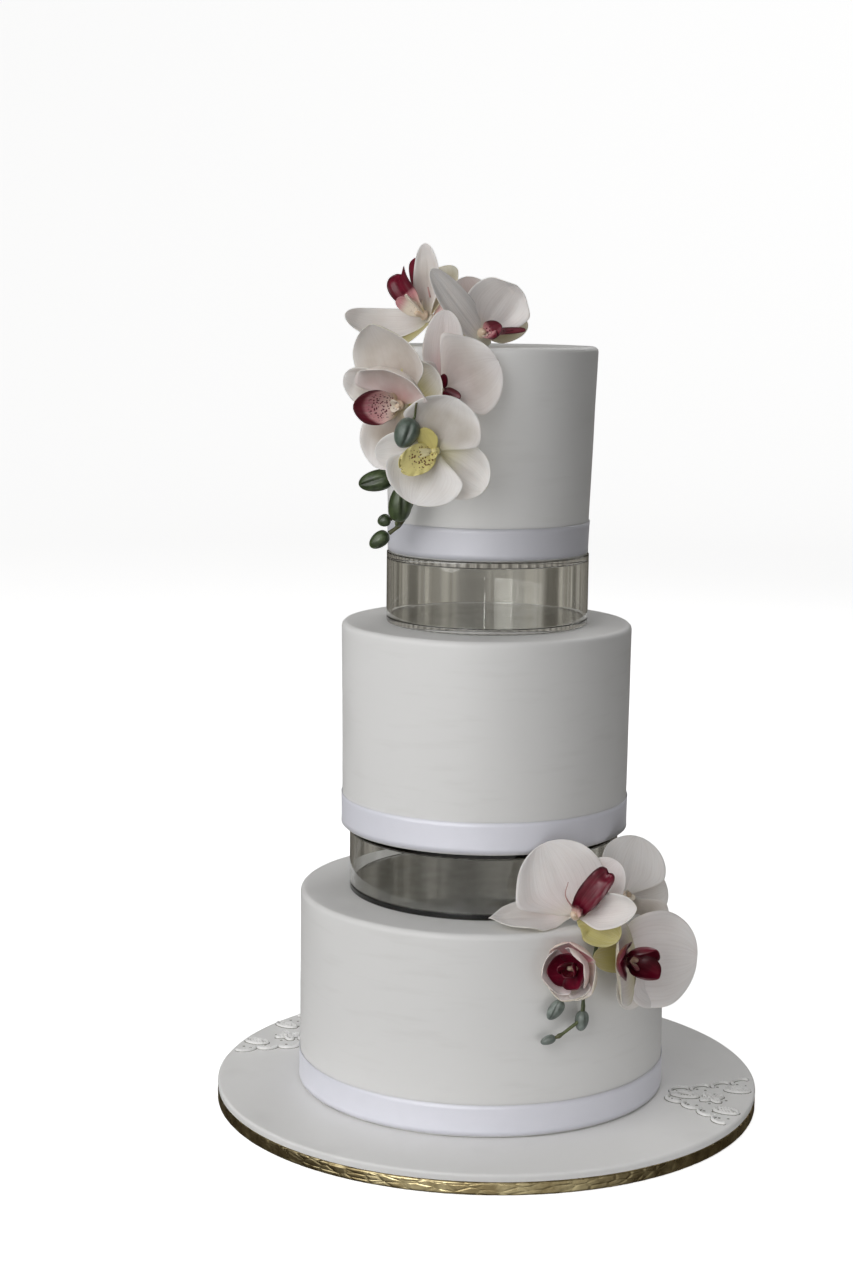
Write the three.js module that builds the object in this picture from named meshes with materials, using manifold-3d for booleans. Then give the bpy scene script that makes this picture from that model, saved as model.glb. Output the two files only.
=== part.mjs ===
// Three-tier wedding cake on an iced drum board, the tiers held apart by two clear
// round separators, with satin ribbons and two cascading sprays of moth orchids.
// Millimetres, +Z up, the origin under the middle of the board.
import * as THREE from 'three';
import { mergeVertices } from 'three/addons/utils/BufferGeometryUtils.js';
import Module from 'manifold-3d';

const wasm = await Module();
wasm.setup();

// ---- Driving dimensions ----
const gap = 0.3; // clearance between pieces that rest on each other
const roundSteps = 36; // facets round everything turned on the cake's axis

const drum = { radius: 228, height: 10.3, edge: 1.5 };
const boardIcing = { radius: 228, thick: 6.2, edge: 3 };
const cakeX = -5; // the cake stands a little to the left of the board's middle
const tiers = {
  bottom: { base: 153.3, top: 153.3, height: 164, edge: 4 },
  middle: { base: 118.5, top: 120, height: 170, edge: 4 },
  top: { base: 81.7, top: 87.8, height: 168, edge: 4 },
};
const separators = {
  lower: { radius: 112, height: 54.2 },
  upper: { radius: 83.1, height: 57.4 },
};
const acrylic = { plate: 4.5, wall: 3 }; // thickness of a separator's plates and ring
const ribbon = { height: 25.4, thick: 0.6 };
const blade = { thick: 1.4, rimThick: 0.8 }; // of a petal, along its middle and at its edge
const heart = { radius: 4.2, depth: 2 }; // the disc that holds each whorl of a flower
const column = { long: 12, radius: 3.2, tilt: 15 }; // the peg at a flower's middle
const stalk = { main: 2.2, flower: 1.6, bud: 1.2 }; // radii of a spray's stem and branches

// ---- Materials ----
function finish(color, roughness, metalness = 0) {
  return new THREE.MeshStandardMaterial({ color, roughness, metalness });
}
const colours = {
  fondant: finish('#e9e7e4', 0.55),
  satin: finish('#dcdbea', 0.35),
  foil: finish('#b9a04c', 0.3, 1),
  clear: finish('#b9c0bd', 0.05),
  petal: finish('#e9e0dc', 0.6),
  sepal: finish('#e4ddcb', 0.6),
  crimson: finish('#7d0f36', 0.5),
  yellow: finish('#c9be62', 0.5),
  bud: finish('#4f6038', 0.55),
  paleBud: finish('#7d887c', 0.55),
  stem: finish('#57622f', 0.6),
};

// ---- Helpers ----
const radians = THREE.MathUtils.degToRad;
const smooth = THREE.MathUtils.smoothstep;
const lerp = THREE.MathUtils.lerp;

/** A closed solid for joining and cutting, from any closed geometry. */
function toSolid(geometry) {
  const bare = geometry.clone();
  bare.deleteAttribute('normal');
  bare.deleteAttribute('uv');
  const merged = mergeVertices(bare, 1e-4);
  return new wasm.Manifold(new wasm.Mesh({
    numProp: 3,
    vertProperties: new Float32Array(merged.attributes.position.array),
    triVerts: new Uint32Array(merged.index.array),
  }));
}

function toGeometry(solid) {
  const mesh = solid.getMesh();
  const geometry = new THREE.BufferGeometry();
  geometry.setAttribute('position', new THREE.BufferAttribute(mesh.vertProperties, 3));
  geometry.setIndex(new THREE.BufferAttribute(mesh.triVerts, 1));
  geometry.computeVertexNormals();
  return geometry;
}

/** Several closed geometries joined into one. */
function join(geometries) {
  return toGeometry(geometries.map(toSolid).reduce((whole, part) => whole.add(part)));
}

function piece(name, geometry, material) {
  const mesh = new THREE.Mesh(geometry, material);
  mesh.name = name;
  return mesh;
}

/** A closed outline of [radius, z] pairs turned round the vertical axis. */
function turned(outline, steps = roundSteps) {
  const points = outline.map(([r, z]) => new THREE.Vector2(r, z));
  return new THREE.LatheGeometry(points, steps).rotateX(Math.PI / 2);
}

/** A plain disc from its low to its high face. */
function disc(radius, low, high, steps = roundSteps) {
  return turned([[0, low], [radius, low], [radius, high], [0, high]], steps);
}

/** The quarter-round from a disc's side on to its top, as [radius, z] pairs. */
function roundedEdge(radius, top, edge, steps = 2) {
  return Array.from({ length: steps + 1 }, (_, i) => {
    const a = (i / steps) * (Math.PI / 2);
    return [radius - edge * (1 - Math.cos(a)), top - edge * (1 - Math.sin(a))];
  });
}

/** A round bar along a smooth curve through the given points. */
function bar(points, radius, steps, sides = 5) {
  const section = new THREE.Shape(Array.from({ length: sides }, (_, i) => {
    const a = (i / sides) * Math.PI * 2;
    return new THREE.Vector2(radius * Math.cos(a), radius * Math.sin(a));
  }));
  const path = new THREE.CatmullRomCurve3(points.map((p) => new THREE.Vector3(...p)));
  return new THREE.ExtrudeGeometry(section, { steps, extrudePath: path, bevelEnabled: false });
}

// ---- Levels, from the board up ----
const icingBase = drum.height + gap;
const icingTop = icingBase + boardIcing.thick;
const bottomBase = icingTop + gap;
const lowerBase = bottomBase + tiers.bottom.height + gap;
const middleBase = lowerBase + separators.lower.height + gap;
const upperBase = middleBase + tiers.middle.height + gap;
const topBase = upperBase + separators.upper.height + gap;
const levels = { bottom: bottomBase, middle: middleBase, top: topBase };

// ---- Board: a foil-covered drum under a sheet of icing ----
function drumGeometry() {
  const { radius, height, edge } = drum;
  return turned([
    [0, 0], [radius - edge, 0], [radius, edge], [radius, height - edge],
    [radius - edge, height], [0, height],
  ]);
}

function icingSheet() {
  const { radius, edge } = boardIcing;
  return turned([
    [0, icingBase], [radius - 1, icingBase],
    ...roundedEdge(radius, icingTop, edge), [0, icingTop],
  ]);
}

// Two fans of piped lace lie on the icing, pointing in at the cake.
const lace = { line: 2.4, high: 1.4, sunk: 0.8, near: 158, far: 224, halfAngle: 14 };

/** An oval ring of piping, or its half, seen from above. */
function laceLoop({ long, wide, half = false }) {
  const sides = half ? 3 : 6;
  const sweep = half ? Math.PI : Math.PI * 2;
  const rim = (grow) => Array.from({ length: sides + (half ? 1 : 0) }, (_, i) => {
    const a = (i / sides) * sweep;
    return new THREE.Vector2((long / 2 + grow) * Math.cos(a), (wide / 2 + grow) * Math.sin(a));
  });
  const outer = rim(lace.line / 2);
  const inner = rim(-lace.line / 2);
  const shape = new THREE.Shape(half ? [...outer, ...inner.reverse()] : outer);
  if (!half) shape.holes.push(new THREE.Path(inner));
  return new THREE.ExtrudeGeometry(shape, { depth: lace.high + lace.sunk, bevelEnabled: false });
}

/** Places a loop at a radius and angle on the board, turned by its own angle. */
function onBoard(geometry, radius, angle, turn) {
  return geometry.rotateZ(radians(angle + turn)).translate(
    radius * Math.cos(radians(angle)), radius * Math.sin(radians(angle)), icingTop - lace.sunk,
  );
}

function laceFan(angle) {
  const middle = (lace.near + lace.far) / 2;
  const loops = [
    onBoard(laceLoop({ long: 22, wide: 9 }), lace.near + 14, angle, 0),
    onBoard(laceLoop({ long: 12, wide: 12 }), middle + 4, angle, 0),
    onBoard(laceLoop({ long: 20, wide: 10 }), lace.far - 11, angle - 7, 0),
    onBoard(laceLoop({ long: 20, wide: 10 }), lace.far - 11, angle + 7, 0),
  ];
  const scallops = 4;
  for (const side of [-1, 1]) {
    for (let i = 0; i < scallops; i += 1) {
      const t = (i + 0.5) / scallops;
      const radius = lerp(lace.near, lace.far, t);
      const spread = side * lace.halfAngle * (0.15 + 0.75 * t);
      const half = laceLoop({ long: 17, wide: 12, half: true });
      loops.push(onBoard(half, radius, angle + spread, side * 40 + (side < 0 ? 180 : 0)));
    }
  }
  return loops;
}

const laceAngles = [-16, 155]; // degrees from +X, right front and left back
const board = [
  piece('board_drum', drumGeometry(), colours.foil),
  piece('board_icing', join([icingSheet(), ...laceAngles.flatMap(laceFan)]), colours.fondant),
];

// ---- Tiers, ribbons and separators ----
/** A tier, or with grow the room that it takes up with a gap all round. */
function tierGeometry({ base, top, height, edge }, level, grow = 0) {
  const foot = 1; // the covering tucks in a little at the bottom
  return turned([
    [0, level - grow], [base + grow - foot, level - grow], [base + grow, level + foot],
    ...roundedEdge(top + grow, level + height + grow, edge), [0, level + height + grow],
  ]);
}

/** A band round the foot of a tier, following its slight flare. */
function ribbonGeometry({ base, top, height }, level) {
  const low = level + gap + 1;
  const high = low + ribbon.height;
  const radiusAt = (z) => THREE.MathUtils.mapLinear(z, level, level + height, base, top) + gap;
  return turned([
    [radiusAt(low), low], [radiusAt(low) + ribbon.thick, low],
    [radiusAt(high) + ribbon.thick, high], [radiusAt(high), high], [radiusAt(low), low],
  ]);
}

/** A clear separator: a base plate, an upright ring and a top plate. */
function separatorPieces(name, { radius, height }, level) {
  const ringLow = level + acrylic.plate + gap;
  const ringHigh = level + height - acrylic.plate - gap;
  const plate = (z) => disc(radius, z, z + acrylic.plate);
  const ring = turned([
    [radius - acrylic.wall, ringLow], [radius, ringLow],
    [radius, ringHigh], [radius - acrylic.wall, ringHigh], [radius - acrylic.wall, ringLow],
  ]);
  return [
    piece(`separator_${name}_base`, plate(level), colours.clear),
    piece(`separator_${name}_ring`, ring, colours.clear),
    piece(`separator_${name}_plate`, plate(ringHigh + gap), colours.clear),
  ];
}

const onAxis = new THREE.Group(); // everything centred on the cake's own axis
onAxis.position.x = cakeX;
for (const [name, tier] of Object.entries(tiers)) {
  onAxis.add(piece(`tier_${name}`, tierGeometry(tier, levels[name]), colours.fondant));
  onAxis.add(piece(`ribbon_${name}`, ribbonGeometry(tier, levels[name]), colours.satin));
}
onAxis.add(...separatorPieces('lower', separators.lower, lowerBase));
onAxis.add(...separatorPieces('upper', separators.upper, upperBase));

// ---- Fitting the sprays ----
// Buds, stems and flowers are fitted one after another, from the front of a spray to its
// back: each gives way to the cake and to the pieces before it, all grown by the gap.
const taken = Object.entries(tiers).map(([name, tier]) => tierGeometry(tier, levels[name], gap));
taken.push(disc(separators.lower.radius + gap, lowerBase, middleBase));
taken.push(disc(tiers.middle.base + 2, middleBase, middleBase + ribbon.height + 2));
taken.forEach((room, i) => { taken[i] = toSolid(room.translate(cakeX, 0, 0)); });

/** What is left of a piece that stands at place, as its largest body, in the piece's frame. */
function giveWay(geometry, grown, place) {
  const solid = toSolid(geometry.applyMatrix4(place));
  const left = taken.reduce((rest, room) => rest.subtract(room), solid);
  const [largest] = left.decompose().sort((a, b) => b.volume() - a.volume());
  taken.push(toSolid(grown.applyMatrix4(place)));
  return toGeometry(largest).applyMatrix4(place.clone().invert());
}

// ---- Orchids ----
// A petal leaves the flower's heart at its clock angle in the flower's plane, 0 being up
// and 90 to the right. It leans forward out of that plane by lean, and bends by curl over
// its length. Its edges cup forward by cup, and ripple.
const kinds = {
  petal: { rows: 5, cols: 2, claw: 0.16, fullest: 0.9, cup: 0.25, ripple: 0.05, twist: 0 },
  sepal: { rows: 4, cols: 2, claw: 0.3, fullest: 1, cup: 0.2, ripple: 0, twist: 0 },
  lobe: { rows: 2, cols: 2, claw: 0.4, fullest: 0.8, cup: 0.7, ripple: 0, twist: 0 },
};
const whorlStep = heart.depth + gap + 0.1; // from the sepals' layer to the petals'
const layers = { sepal: -whorlStep, petal: 0, lobe: 2 * whorlStep };

/** Half-width of a petal at s, from 0 at the heart to 1 at the tip. */
function bladeHalfWidth({ wide, claw, fullest }, s) {
  const oval = Math.sqrt(Math.max(0, 1 - (2 * s ** fullest - 1) ** 2));
  return (wide / 2) * oval * (claw + (1 - claw) * smooth(s, -0.1, 0.45));
}

/** The front or back of a petal at s along it and v across it, in the flower's frame. */
function bladePoint(form, s, v, face, grow) {
  const clock = radians(form.clock);
  const lean = radians(form.lean);
  const curl = radians(form.curl) || 1e-6;
  const twist = radians(form.twist) * smooth(s, 0, 0.6);
  const slope = lean + curl * s;
  const out = ((form.long + grow) / curl) * (Math.sin(slope) - Math.sin(lean));
  const rise = ((form.long + grow) / curl) * (Math.cos(lean) - Math.cos(slope));
  const half = bladeHalfWidth(form, s) + grow;
  const arc = form.cup * v || 1e-6;
  const thick = face * (lerp(blade.thick, blade.rimThick, v * v) / 2 + grow);
  const ripple = form.ripple * half * v * v * Math.sin(9 * s + 2 * v);
  const flatSide = (half * v * Math.sin(arc)) / arc - thick * Math.sin(arc);
  const flatUp = (half * v * (1 - Math.cos(arc))) / arc + ripple + thick * Math.cos(arc);
  const side = flatSide * Math.cos(twist) - flatUp * Math.sin(twist);
  const up = flatSide * Math.sin(twist) + flatUp * Math.cos(twist);
  const along = out - up * Math.sin(slope);
  return [
    along * Math.sin(clock) + side * Math.cos(clock),
    along * Math.cos(clock) - side * Math.sin(clock),
    form.layer + rise + up * Math.cos(slope),
  ];
}

/** A petal as a thin closed solid, its front and back split into triangles alike. */
function bladeGeometry(form, grow) {
  const { rows, cols } = form;
  const start = 1.5 / form.long; // it grows out of the disc at the heart
  const positions = [];
  const grid = (face) => Array.from({ length: rows + 1 }, (_, i) => {
    const s = start + (1 - start) * Math.sin((i / rows) * (Math.PI / 2));
    const tip = i === rows;
    const row = Array.from({ length: tip ? 1 : cols + 1 }, (_, j) => {
      const v = tip ? 0 : (2 * j) / cols - 1;
      positions.push(...bladePoint(form, s, v, face, grow));
      return positions.length / 3 - 1;
    });
    return tip ? Array(cols + 1).fill(row[0]) : row;
  });
  const front = grid(1);
  const back = grid(-1);
  const triangles = [];
  const add = (a, b, c) => {
    if (a !== b && b !== c && c !== a) triangles.push(a, b, c);
  };
  const quad = (a, b, c, d) => {
    add(a, b, c);
    add(a, c, d);
  };
  for (let i = 0; i < rows; i += 1) {
    for (let j = 0; j < cols; j += 1) {
      quad(front[i][j], front[i][j + 1], front[i + 1][j + 1], front[i + 1][j]);
      add(back[i][j], back[i + 1][j + 1], back[i][j + 1]);
      add(back[i][j], back[i + 1][j], back[i + 1][j + 1]);
    }
    quad(front[i][0], front[i + 1][0], back[i + 1][0], back[i][0]);
    quad(back[i][cols], back[i + 1][cols], front[i + 1][cols], front[i][cols]);
  }
  for (let j = 0; j < cols; j += 1) {
    quad(front[0][j], back[0][j], back[0][j + 1], front[0][j + 1]);
  }
  const geometry = new THREE.BufferGeometry();
  geometry.setAttribute('position', new THREE.Float32BufferAttribute(positions, 3));
  geometry.setIndex(triangles);
  return geometry;
}

/** Sepals or petals, joined by the disc at the flower's heart. */
function whorlGeometry(kind, rows, grow) {
  const half = heart.depth / 2 + grow;
  const layer = layers[kind];
  return join([
    disc(heart.radius + grow, layer - half, layer + half, 6),
    ...rows.map(([clock, long, wide, lean, curl, more]) => bladeGeometry({
      ...kinds[kind], layer, clock, long, wide, lean, curl, ...more,
    }, grow)),
  ]);
}

/** The rounded peg at the middle of the flower, over the lip. */
function columnGeometry(clock, grow) {
  const { long, radius, tilt } = column;
  const outline = [
    [0, -1 - grow], [heart.radius + grow, -1 - grow], [heart.radius + grow, 1 + grow],
    [radius + grow, long * 0.7], [0, long + grow],
  ];
  return turned(outline, 5).rotateX(radians(-tilt)).rotateZ(radians(-clock))
    .translate(0, 0, layers.lobe);
}

/** The lip: a middle lobe that bends away and two side lobes that stand up round the column. */
function lipGeometry({ clock, long, wide, lean, curl = -45, spread = 62 }, grow) {
  const form = { ...kinds.lobe, layer: layers.lobe };
  const sideLobe = { ...form, long: long * 0.8, wide: wide * 0.9, lean: lean + 8, curl: 20 };
  return join([
    columnGeometry(clock + 180, grow),
    bladeGeometry({ ...form, clock, long, wide, lean, curl }, grow),
    bladeGeometry({ ...sideLobe, clock: clock - spread }, grow),
    bladeGeometry({ ...sideLobe, clock: clock + spread }, grow),
  ]);
}

/** Where a flower stands: its axes are right, up and out of its face, turned and tilted. */
function flowerPlace({ at, face: [turn, tilt] }) {
  const out = new THREE.Vector3(
    Math.sin(radians(turn)) * Math.cos(radians(tilt)),
    -Math.cos(radians(turn)) * Math.cos(radians(tilt)),
    Math.sin(radians(tilt)),
  );
  const right = new THREE.Vector3(Math.cos(radians(turn)), Math.sin(radians(turn)), 0);
  return new THREE.Matrix4().makeBasis(right, out.clone().cross(right), out).setPosition(...at);
}

function flowerPieces(flower) {
  const { name, petals, sepals, lip } = flower;
  const place = flowerPlace(flower);
  const fitted = (part, shape, material) => {
    const geometry = giveWay(shape(0), shape(gap), place);
    return piece(`orchid_${name}_${part}`, geometry, material);
  };
  const group = new THREE.Group();
  group.applyMatrix4(place);
  group.add(fitted('lip', (grow) => lipGeometry(lip, grow), colours[lip.colour]));
  group.add(fitted('petals', (grow) => whorlGeometry('petal', petals, grow), colours.petal));
  group.add(fitted('sepals', (grow) => whorlGeometry('sepal', sepals, grow), colours.sepal));
  return group;
}

// Each flower: its heart, where its face turns and tilts, then its petals and sepals as
// [clock, long, wide, lean, curl], and its lip. Its stalk meets the spray's stem at joins,
// as a share of that stem's length.
const topFlowers = [
  {
    name: 'front', at: [-46, -118, 554], face: [-8, 0], joins: 0.62,
    petals: [[32, 45, 62, 12, 0], [198, 46, 64, 16, 0]],
    sepals: [[128, 48, 42, 2, 0], [267, 47, 32, 6, 0], [330, 24, 22, 2, 0]],
    lip: { clock: 236, long: 28, wide: 22, lean: 50, colour: 'yellow' },
  },
  {
    name: 'left', at: [-72, -104, 588], face: [-35, -5], joins: 0.48,
    petals: [[10, 38, 64, 26, 0], [205, 54, 48, 8, 0]],
    sepals: [[352, 62, 60, 6, 15], [296, 53, 34, 15, 0], [75, 34, 32, 0, 0]],
    lip: { clock: 272, long: 32, wide: 24, lean: 62, colour: 'crimson' },
  },
  {
    name: 'middle', at: [-43, -96, 599], face: [6, 5], joins: 0.4,
    petals: [[66, 50, 66, 8, 0], [290, 30, 36, 8, 0]],
    sepals: [[4, 56, 28, 8, 0], [130, 26, 26, 4, 0], [222, 22, 22, 4, 0]],
    lip: { clock: 180, long: 22, wide: 16, lean: 55, colour: 'crimson' },
  },
  {
    name: 'top_left', at: [-54, -56, 654], face: [-60, 25], joins: 0.1,
    petals: [[4, 56, 36, 29, 10], [-19, 50, 44, -4, 0]],
    sepals: [[244, 66, 30, 8, 75], [224, 58, 26, 8, 60], [60, 28, 26, -8, 0]],
    lip: { clock: 330, long: 42, wide: 26, lean: 60, curl: -5, spread: 45, colour: 'crimson' },
  },
  {
    name: 'top_right', at: [-14, -60, 642], face: [30, 10], joins: 0.02,
    petals: [[38, 50, 52, 20, 10], [-44, 58, 30, 12, 0]],
    sepals: [[-8, 42, 32, 0, 0], [238, 22, 20, 0, 0], [100, 36, 26, 2, 0]],
    lip: { clock: 100, long: 32, wide: 15, lean: 45, colour: 'crimson' },
  },
];
const lowerFlowers = [
  {
    name: 'cup', at: [70, -145, 155], face: [-26, 4], joins: 0.66,
    petals: [[60, 31, 34, 14, 82, { cup: 1 }], [250, 33, 36, 12, 78, { cup: 1 }]],
    sepals: [
      [0, 35, 38, 2, 86, { cup: 0.9 }], [125, 37, 34, 2, 84, { cup: 0.9 }],
      [190, 35, 34, 2, 86, { cup: 0.9 }],
    ],
    lip: { clock: 120, long: 20, wide: 16, lean: 66, curl: 10, colour: 'crimson' },
  },
  {
    name: 'step', at: [69, -121, 190], face: [-6, 20], joins: 0.12,
    petals: [[334, 62, 70, 12, 0, { claw: 0.4 }], [36, 54, 42, 4, 0]],
    sepals: [
      [263, 66, 40, 14, 0, { twist: -55 }], [80, 56, 40, 10, 30, { cup: 0.7 }], [150, 36, 34, 40, 0],
    ],
    lip: { clock: 38, long: 48, wide: 20, lean: 42, spread: 24, colour: 'crimson' },
  },
  {
    name: 'side', at: [121, -114, 154], face: [38, 5], joins: 0.62,
    petals: [[60, 52, 68, 18, 0], [142, 46, 62, 18, 0]],
    sepals: [[268, 44, 62, 15, 15], [-20, 42, 34, 8, 0], [206, 42, 30, 4, 0]],
    lip: { clock: 285, long: 32, wide: 28, lean: 48, spread: 80, colour: 'crimson' },
  },
  {
    name: 'back', at: [110, -76, 194], face: [22, 22], joins: 0.02,
    petals: [[20, 50, 58, 6, 0], [112, 42, 44, 8, 0]],
    sepals: [[64, 44, 30, 0, 0], [236, 20, 20, 0, 0], [320, 28, 22, 0, 0]],
    lip: { clock: 225, long: 22, wide: 14, lean: 50, colour: 'crimson' },
  },
];

// ---- Stems and buds ----
// A spray's stem starts on top of a tier, crosses its rim and hangs beside it. A bud runs
// from the end of its own stalk, or of the stem, to its tip.
const sprays = {
  top: {
    flowers: topFlowers,
    bud: 'bud',
    stem: [
      [-34, -46, 634.8], [-46, -66, 635], [-53, -77, 629], [-54, -79, 610], [-56, -76, 580],
      [-60, -73, 550], [-64, -73, 522], [-66, -76, 508], [-74, -74, 493], [-83, -72, 485],
    ],
    buds: [
      { at: [-63, -126, 578], tip: [-73, -131, 557], wide: 19, joins: 0.45 },
      { at: [-80, -80, 530], tip: [-107, -80, 524], wide: 17, joins: 0.72 },
      { at: [-76, -84, 496], tip: [-71, -90, 526], wide: 18.5, joins: 0.9 },
      { at: [-82, -76, 497], tip: [-92, -77, 494], wide: 10, joins: 0.84 },
      { at: [-84, -72, 485], tip: [-98, -72, 474], wide: 12.5, joins: 1 },
    ],
  },
  lower: {
    flowers: lowerFlowers,
    bud: 'paleBud',
    stem: [
      [95, -85, 184], [90, -108, 184.5], [87, -124, 182], [85.5, -131, 172], [84, -131.5, 160],
      [80, -134, 147], [76, -137, 136], [75.5, -139, 118],
    ],
    buds: [
      { at: [59, -147, 128], tip: [48, -150, 114], wide: 11, joins: 0.86 },
      { at: [75.5, -139, 118], tip: [73.6, -141, 102], wide: 11, joins: 1 },
      { at: [54, -149, 99], tip: [42.5, -151, 95], wide: 7.5, joins: 0.9 },
    ],
  },
};

/** A stalk from a spray's stem to where it holds a bud or a flower. */
function stalkPath(stem, joins, end, behind) {
  const start = new THREE.CatmullRomCurve3(stem.map((p) => new THREE.Vector3(...p)));
  return [start.getPoint(joins).toArray(), behind, end];
}

function stemGeometry({ stem, flowers, buds }, grow) {
  const steps = stem.length;
  const stalks = flowers.map(({ at, face, joins }) => {
    const place = flowerPlace({ at, face });
    const back = -whorlStep - heart.depth / 2 - gap - 0.1;
    const end = new THREE.Vector3(0, 0, back).applyMatrix4(place).toArray();
    const behind = new THREE.Vector3(0, 0, back - 7).applyMatrix4(place).toArray();
    return bar(stalkPath(stem, joins, end, behind), stalk.flower + grow, 2, 4);
  });
  const budStalks = buds.filter(({ joins }) => joins < 1).map(({ at, tip, joins }) => {
    const away = new THREE.Vector3(...at).sub(new THREE.Vector3(...tip)).normalize();
    const behind = new THREE.Vector3(...at).addScaledVector(away, 3).toArray();
    return bar(stalkPath(stem, joins, at, behind), stalk.bud + grow, 2, 4);
  });
  return join([bar(stem, stalk.main + grow, steps), ...stalks, ...budStalks]);
}

/** A bud along its own axis, as shares of its length and its half-width. */
function budGeometry(long, wide, grow) {
  const outline = [[0, 0], [0.6, 0.08], [1, 0.42], [0.75, 0.8], [0, 1]];
  const points = outline.map(([r, z]) => [
    r * (wide / 2 + grow), z * (long + 2 * grow) - grow,
  ]);
  return turned(points, 6);
}

function budPiece(name, { at, tip, wide }, material) {
  const from = new THREE.Vector3(...at);
  const along = new THREE.Vector3(...tip).sub(from);
  const turn = new THREE.Quaternion().setFromUnitVectors(
    new THREE.Vector3(0, 0, 1), along.clone().normalize(),
  );
  const place = new THREE.Matrix4().compose(from, turn, new THREE.Vector3(1, 1, 1));
  const shape = (grow) => budGeometry(along.length(), wide, grow);
  const bud = piece(name, giveWay(shape(0), shape(gap), place), material);
  bud.applyMatrix4(place);
  return bud;
}

function sprayPieces([name, spray]) {
  const buds = spray.buds.map((bud, i) => budPiece(`bud_${name}_${i + 1}`, bud, colours[spray.bud]));
  const still = new THREE.Matrix4();
  const stem = giveWay(stemGeometry(spray, 0), stemGeometry(spray, gap), still);
  return [...buds, piece(`stem_${name}`, stem, colours.stem), ...spray.flowers.map(flowerPieces)];
}

const cake = new THREE.Group();
cake.add(...board, onAxis, ...Object.entries(sprays).flatMap(sprayPieces));

export default cake;
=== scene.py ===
# A three-tier wedding cake on an iced board, its tiers held apart by clear round separators,
# with satin ribbons and two sprays of moth orchids. Metres, +Z up, -Y is the front.
import math
import random

import bpy
import bmesh
import numpy as np
from mathutils import Matrix, Vector


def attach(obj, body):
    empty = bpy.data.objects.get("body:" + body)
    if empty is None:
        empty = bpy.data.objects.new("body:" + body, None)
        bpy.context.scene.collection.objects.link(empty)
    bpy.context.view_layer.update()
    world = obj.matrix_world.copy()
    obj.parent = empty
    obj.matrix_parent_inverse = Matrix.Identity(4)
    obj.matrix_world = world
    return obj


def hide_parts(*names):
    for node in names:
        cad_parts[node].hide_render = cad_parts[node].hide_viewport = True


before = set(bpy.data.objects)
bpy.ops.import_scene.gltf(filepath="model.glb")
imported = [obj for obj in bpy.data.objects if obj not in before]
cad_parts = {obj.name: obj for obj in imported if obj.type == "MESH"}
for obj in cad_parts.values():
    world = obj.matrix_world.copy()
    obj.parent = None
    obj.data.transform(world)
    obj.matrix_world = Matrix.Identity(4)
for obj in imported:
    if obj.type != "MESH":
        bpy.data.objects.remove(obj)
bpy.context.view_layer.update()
mm = 0.001
fullTurn = 2 * math.pi


class Socket:  # an output in a node tree, which can be added, multiplied and so on
    def __init__(self, nodes, plug):
        self.nodes, self.plug = nodes, plug

    def __add__(self, other):
        return self.nodes.calc("ADD", self, other)

    def __sub__(self, other):
        return self.nodes.calc("SUBTRACT", self, other)

    def __rsub__(self, other):
        return self.nodes.calc("SUBTRACT", other, self)

    def __mul__(self, other):
        return self.nodes.calc("MULTIPLY", self, other)

    def __truediv__(self, other):
        return self.nodes.calc("DIVIDE", self, other)

    def __rtruediv__(self, other):
        return self.nodes.calc("DIVIDE", other, self)

    def __abs__(self):
        return self.nodes.calc("ABSOLUTE", self)

    def remap(self, fromLow, fromHigh, toLow=0.0, toHigh=1.0, smooth=False):
        return self.nodes.add("MapRange", Value=self, From_Min=fromLow, From_Max=fromHigh,
                              To_Min=toLow, To_Max=toHigh,
                              interpolation_type="SMOOTHSTEP" if smooth else "LINEAR")


class Nodes:  # builds one node tree
    coords = None
    prefixes = ("ShaderNode", "GeometryNode", "FunctionNode", "Node")

    def __init__(self, tree):
        self.tree = tree

    # Plain values go to a node's inputs in turn. Named ones go to the input of that name, or
    # are settings of the node where the name starts with a small letter.
    def node(self, kind, *values, **named):
        node = self.tree.nodes.new(next(first + kind for first in self.prefixes
                                        if hasattr(bpy.types, first + kind)))
        links = dict(enumerate(values))
        for key, value in named.items():
            if key[0].isupper():
                links[key.replace("_", " ")] = value
            else:
                setattr(node, key, value)
        for key, value in links.items():
            if isinstance(value, Socket):
                self.tree.links.new(value.plug, node.inputs[key])
            elif value is not None:
                node.inputs[key].default_value = value
        return node

    def add(self, kind, *values, out=0, **named):  # a node's output, or a list of them
        plugs = self.node(kind, *values, **named).outputs
        if isinstance(out, tuple):
            return [Socket(self, plugs[key]) for key in out]
        return Socket(self, plugs[out])

    def calc(self, operation, *values, clamp=False):
        return self.add("Math", *values, operation=operation, use_clamp=clamp)

    def mix(self, share, first, second):  # colours are inputs 6 and 7 of the node, and output 2
        colours = [(*c, 1) if isinstance(c, tuple) else c for c in (first, second)]
        return self.add("Mix", share, *[None] * 5, *colours, out=2, data_type="RGBA")

    def noise(self, scale, detail=2.0, roughness=0.5, coords=None, **more):
        return self.add("TexNoise", out="Fac", Vector=coords or self.coords, Scale=scale,
                        Detail=detail, Roughness=roughness, **more)

    def split(self, vector):
        return self.add("SeparateXYZ", vector, out=(0, 1, 2))


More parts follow.
